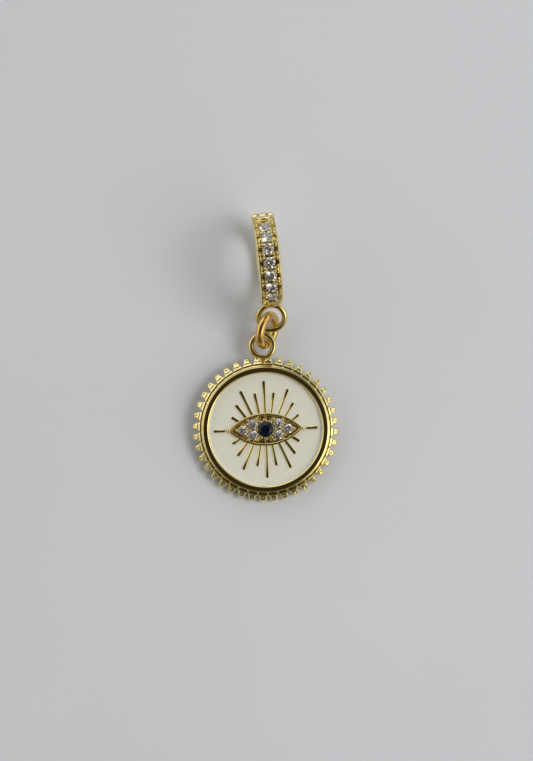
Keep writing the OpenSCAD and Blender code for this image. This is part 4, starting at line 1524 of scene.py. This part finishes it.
def add_surroundings(scene, look):
    """Bright surroundings with a dark patch straight overhead.

    The brightness follows the height of the direction: it is even near the floor and falls to
    almost nothing round the zenith. It is dimmer and warmer towards -Y, and soft patches add to
    it by the cosine of the angle from their middle."""
    world = bpy.data.worlds.new("surroundings")
    world.use_nodes = True
    scene.world = world
    tree = world.node_tree
    direction = node(tree, "TexCoord", {})["Generated"]
    split = node(tree, "SeparateXYZ", {0: direction})
    ramp = tree.nodes.new("ShaderNodeValToRGB")
    stops = ramp.color_ramp.elements
    for stop, (height, shade) in zip(stops, (SKY_SHADES[0], SKY_SHADES[-1])):
        stop.position = height
        stop.color = (*shade, 1)
    for height, shade in SKY_SHADES[1:-1]:
        stops.new(height).color = (*shade, 1)
    tree.links.new(split["Z"], ramp.inputs["Fac"])
    sides = between(tree, split["Y"], low=0.06, high=1.0, start=-0.8, end=0.35)
    total = sides
    for middle, begins, more in SKY_PATCHES:
        inputs = {0: direction, 1: tuple(unit(middle))}
        near = node(tree, "VectorMath", inputs, operation="DOT_PRODUCT")["Value"]
        patch = between(tree, near, low=0.0, high=more, start=begins, end=PATCH_FULL)
        total = node(tree, "Math", {0: total, 1: patch}, operation="ADD")["Value"]
    bright = node(tree, "Math", {0: total, 1: look.sky}, operation="MULTIPLY")["Value"]
    tint = mixed(tree, sides, DIM_TINT, (1, 1, 1))
    tinted = mixed(tree, 1.0, ramp.outputs["Color"], tint, blend="MULTIPLY")
    background = tree.nodes["Background"]
    tree.links.new(tinted, background.inputs["Color"])
    tree.links.new(bright, background.inputs["Strength"])


def add_key_light(scene, look):
    """One large soft light from the right, which casts shadows and leaves no reflection."""
    light = bpy.data.lights.new("key", "AREA")
    light.shape = "DISK"
    light.size = 0.25
    light.energy = look.key_power
    light.color = (1.0, 0.98, 0.95)
    key = bpy.data.objects.new("key", light)
    key.visible_glossy = False
    scene.collection.objects.link(key)
    key.location = Vector(KEY_PLACE) * MM
    key.rotation_euler = (-Vector(KEY_PLACE)).to_track_quat("-Z", "Y").to_euler()


def add_camera(scene, look):
    """A camera straight above, turned a little, whose field is set by its height."""
    origin, axes = disc_frame()
    x, y, z = origin + axes.T @ np.array(CAMERA_OVER)
    camera = bpy.data.cameras.new("camera")
    camera.sensor_fit = "VERTICAL"
    camera.sensor_height = SENSOR
    camera.lens = SENSOR * look.camera_height / look.field_height
    camera.clip_start = 0.01
    camera.clip_end = 10
    holder = bpy.data.objects.new("camera", camera)
    scene.collection.objects.link(holder)
    holder.location = (x * MM, y * MM, (z + look.camera_height) * MM)
    holder.rotation_euler = (0, 0, np.radians(look.camera_roll))
    scene.camera = holder


class PENDANT_OT_stage(bpy.types.Operator):
    """Add the floor, the surroundings, the soft light and the camera"""

    bl_idname = "pendant.add_stage"
    bl_label = "Stage"

    def execute(self, context):
        scene = context.scene
        look = values(scene, "stage")
        add_floor(look)
        add_surroundings(scene, look)
        add_key_light(scene, look)
        add_camera(scene, look)
        scene.view_settings.view_transform = "Standard"
        return {"FINISHED"}


class PENDANT_PT_panel(bpy.types.Panel):
    """The pendant's sizes, finishes and pieces"""

    bl_idname = "PENDANT_PT_panel"
    bl_label = "Evil eye pendant"
    bl_space_type = "VIEW_3D"
    bl_region_type = "UI"
    bl_category = "Pendant"

    def draw(self, context):
        for group_name, group in GROUPS.items():
            box = self.layout.box()
            box.label(text=group.__doc__)
            for name in own_properties(group):
                box.prop(getattr(context.scene, "pendant_" + group_name), name)
        for operator in OPERATORS:
            self.layout.operator(operator.bl_idname)


OPERATORS = (
    PENDANT_OT_stage, PENDANT_OT_disc, PENDANT_OT_eye, PENDANT_OT_rays, PENDANT_OT_enamel,
    PENDANT_OT_links, PENDANT_OT_bail, PENDANT_OT_stones,
)
CLASSES = tuple(GROUPS.values()) + OPERATORS + (PENDANT_PT_panel,)


def register():
    """Registers every class and hangs each group of properties on the scene."""
    for cls in CLASSES:
        bpy.utils.register_class(cls)
    for name, group in GROUPS.items():
        setattr(bpy.types.Scene, "pendant_" + name, PointerProperty(type=group))


def unregister():
    """Undoes register, in the opposite order."""
    for name in GROUPS:
        delattr(bpy.types.Scene, "pendant_" + name)
    for cls in reversed(CLASSES):
        bpy.utils.unregister_class(cls)


def main():
    """Registers every class and runs every operator, which builds every piece and the stage."""
    register()
    for operator in OPERATORS:
        group, name = operator.bl_idname.split(".")
        getattr(getattr(bpy.ops, group), name)()


if __name__ == "__main__":
    main()
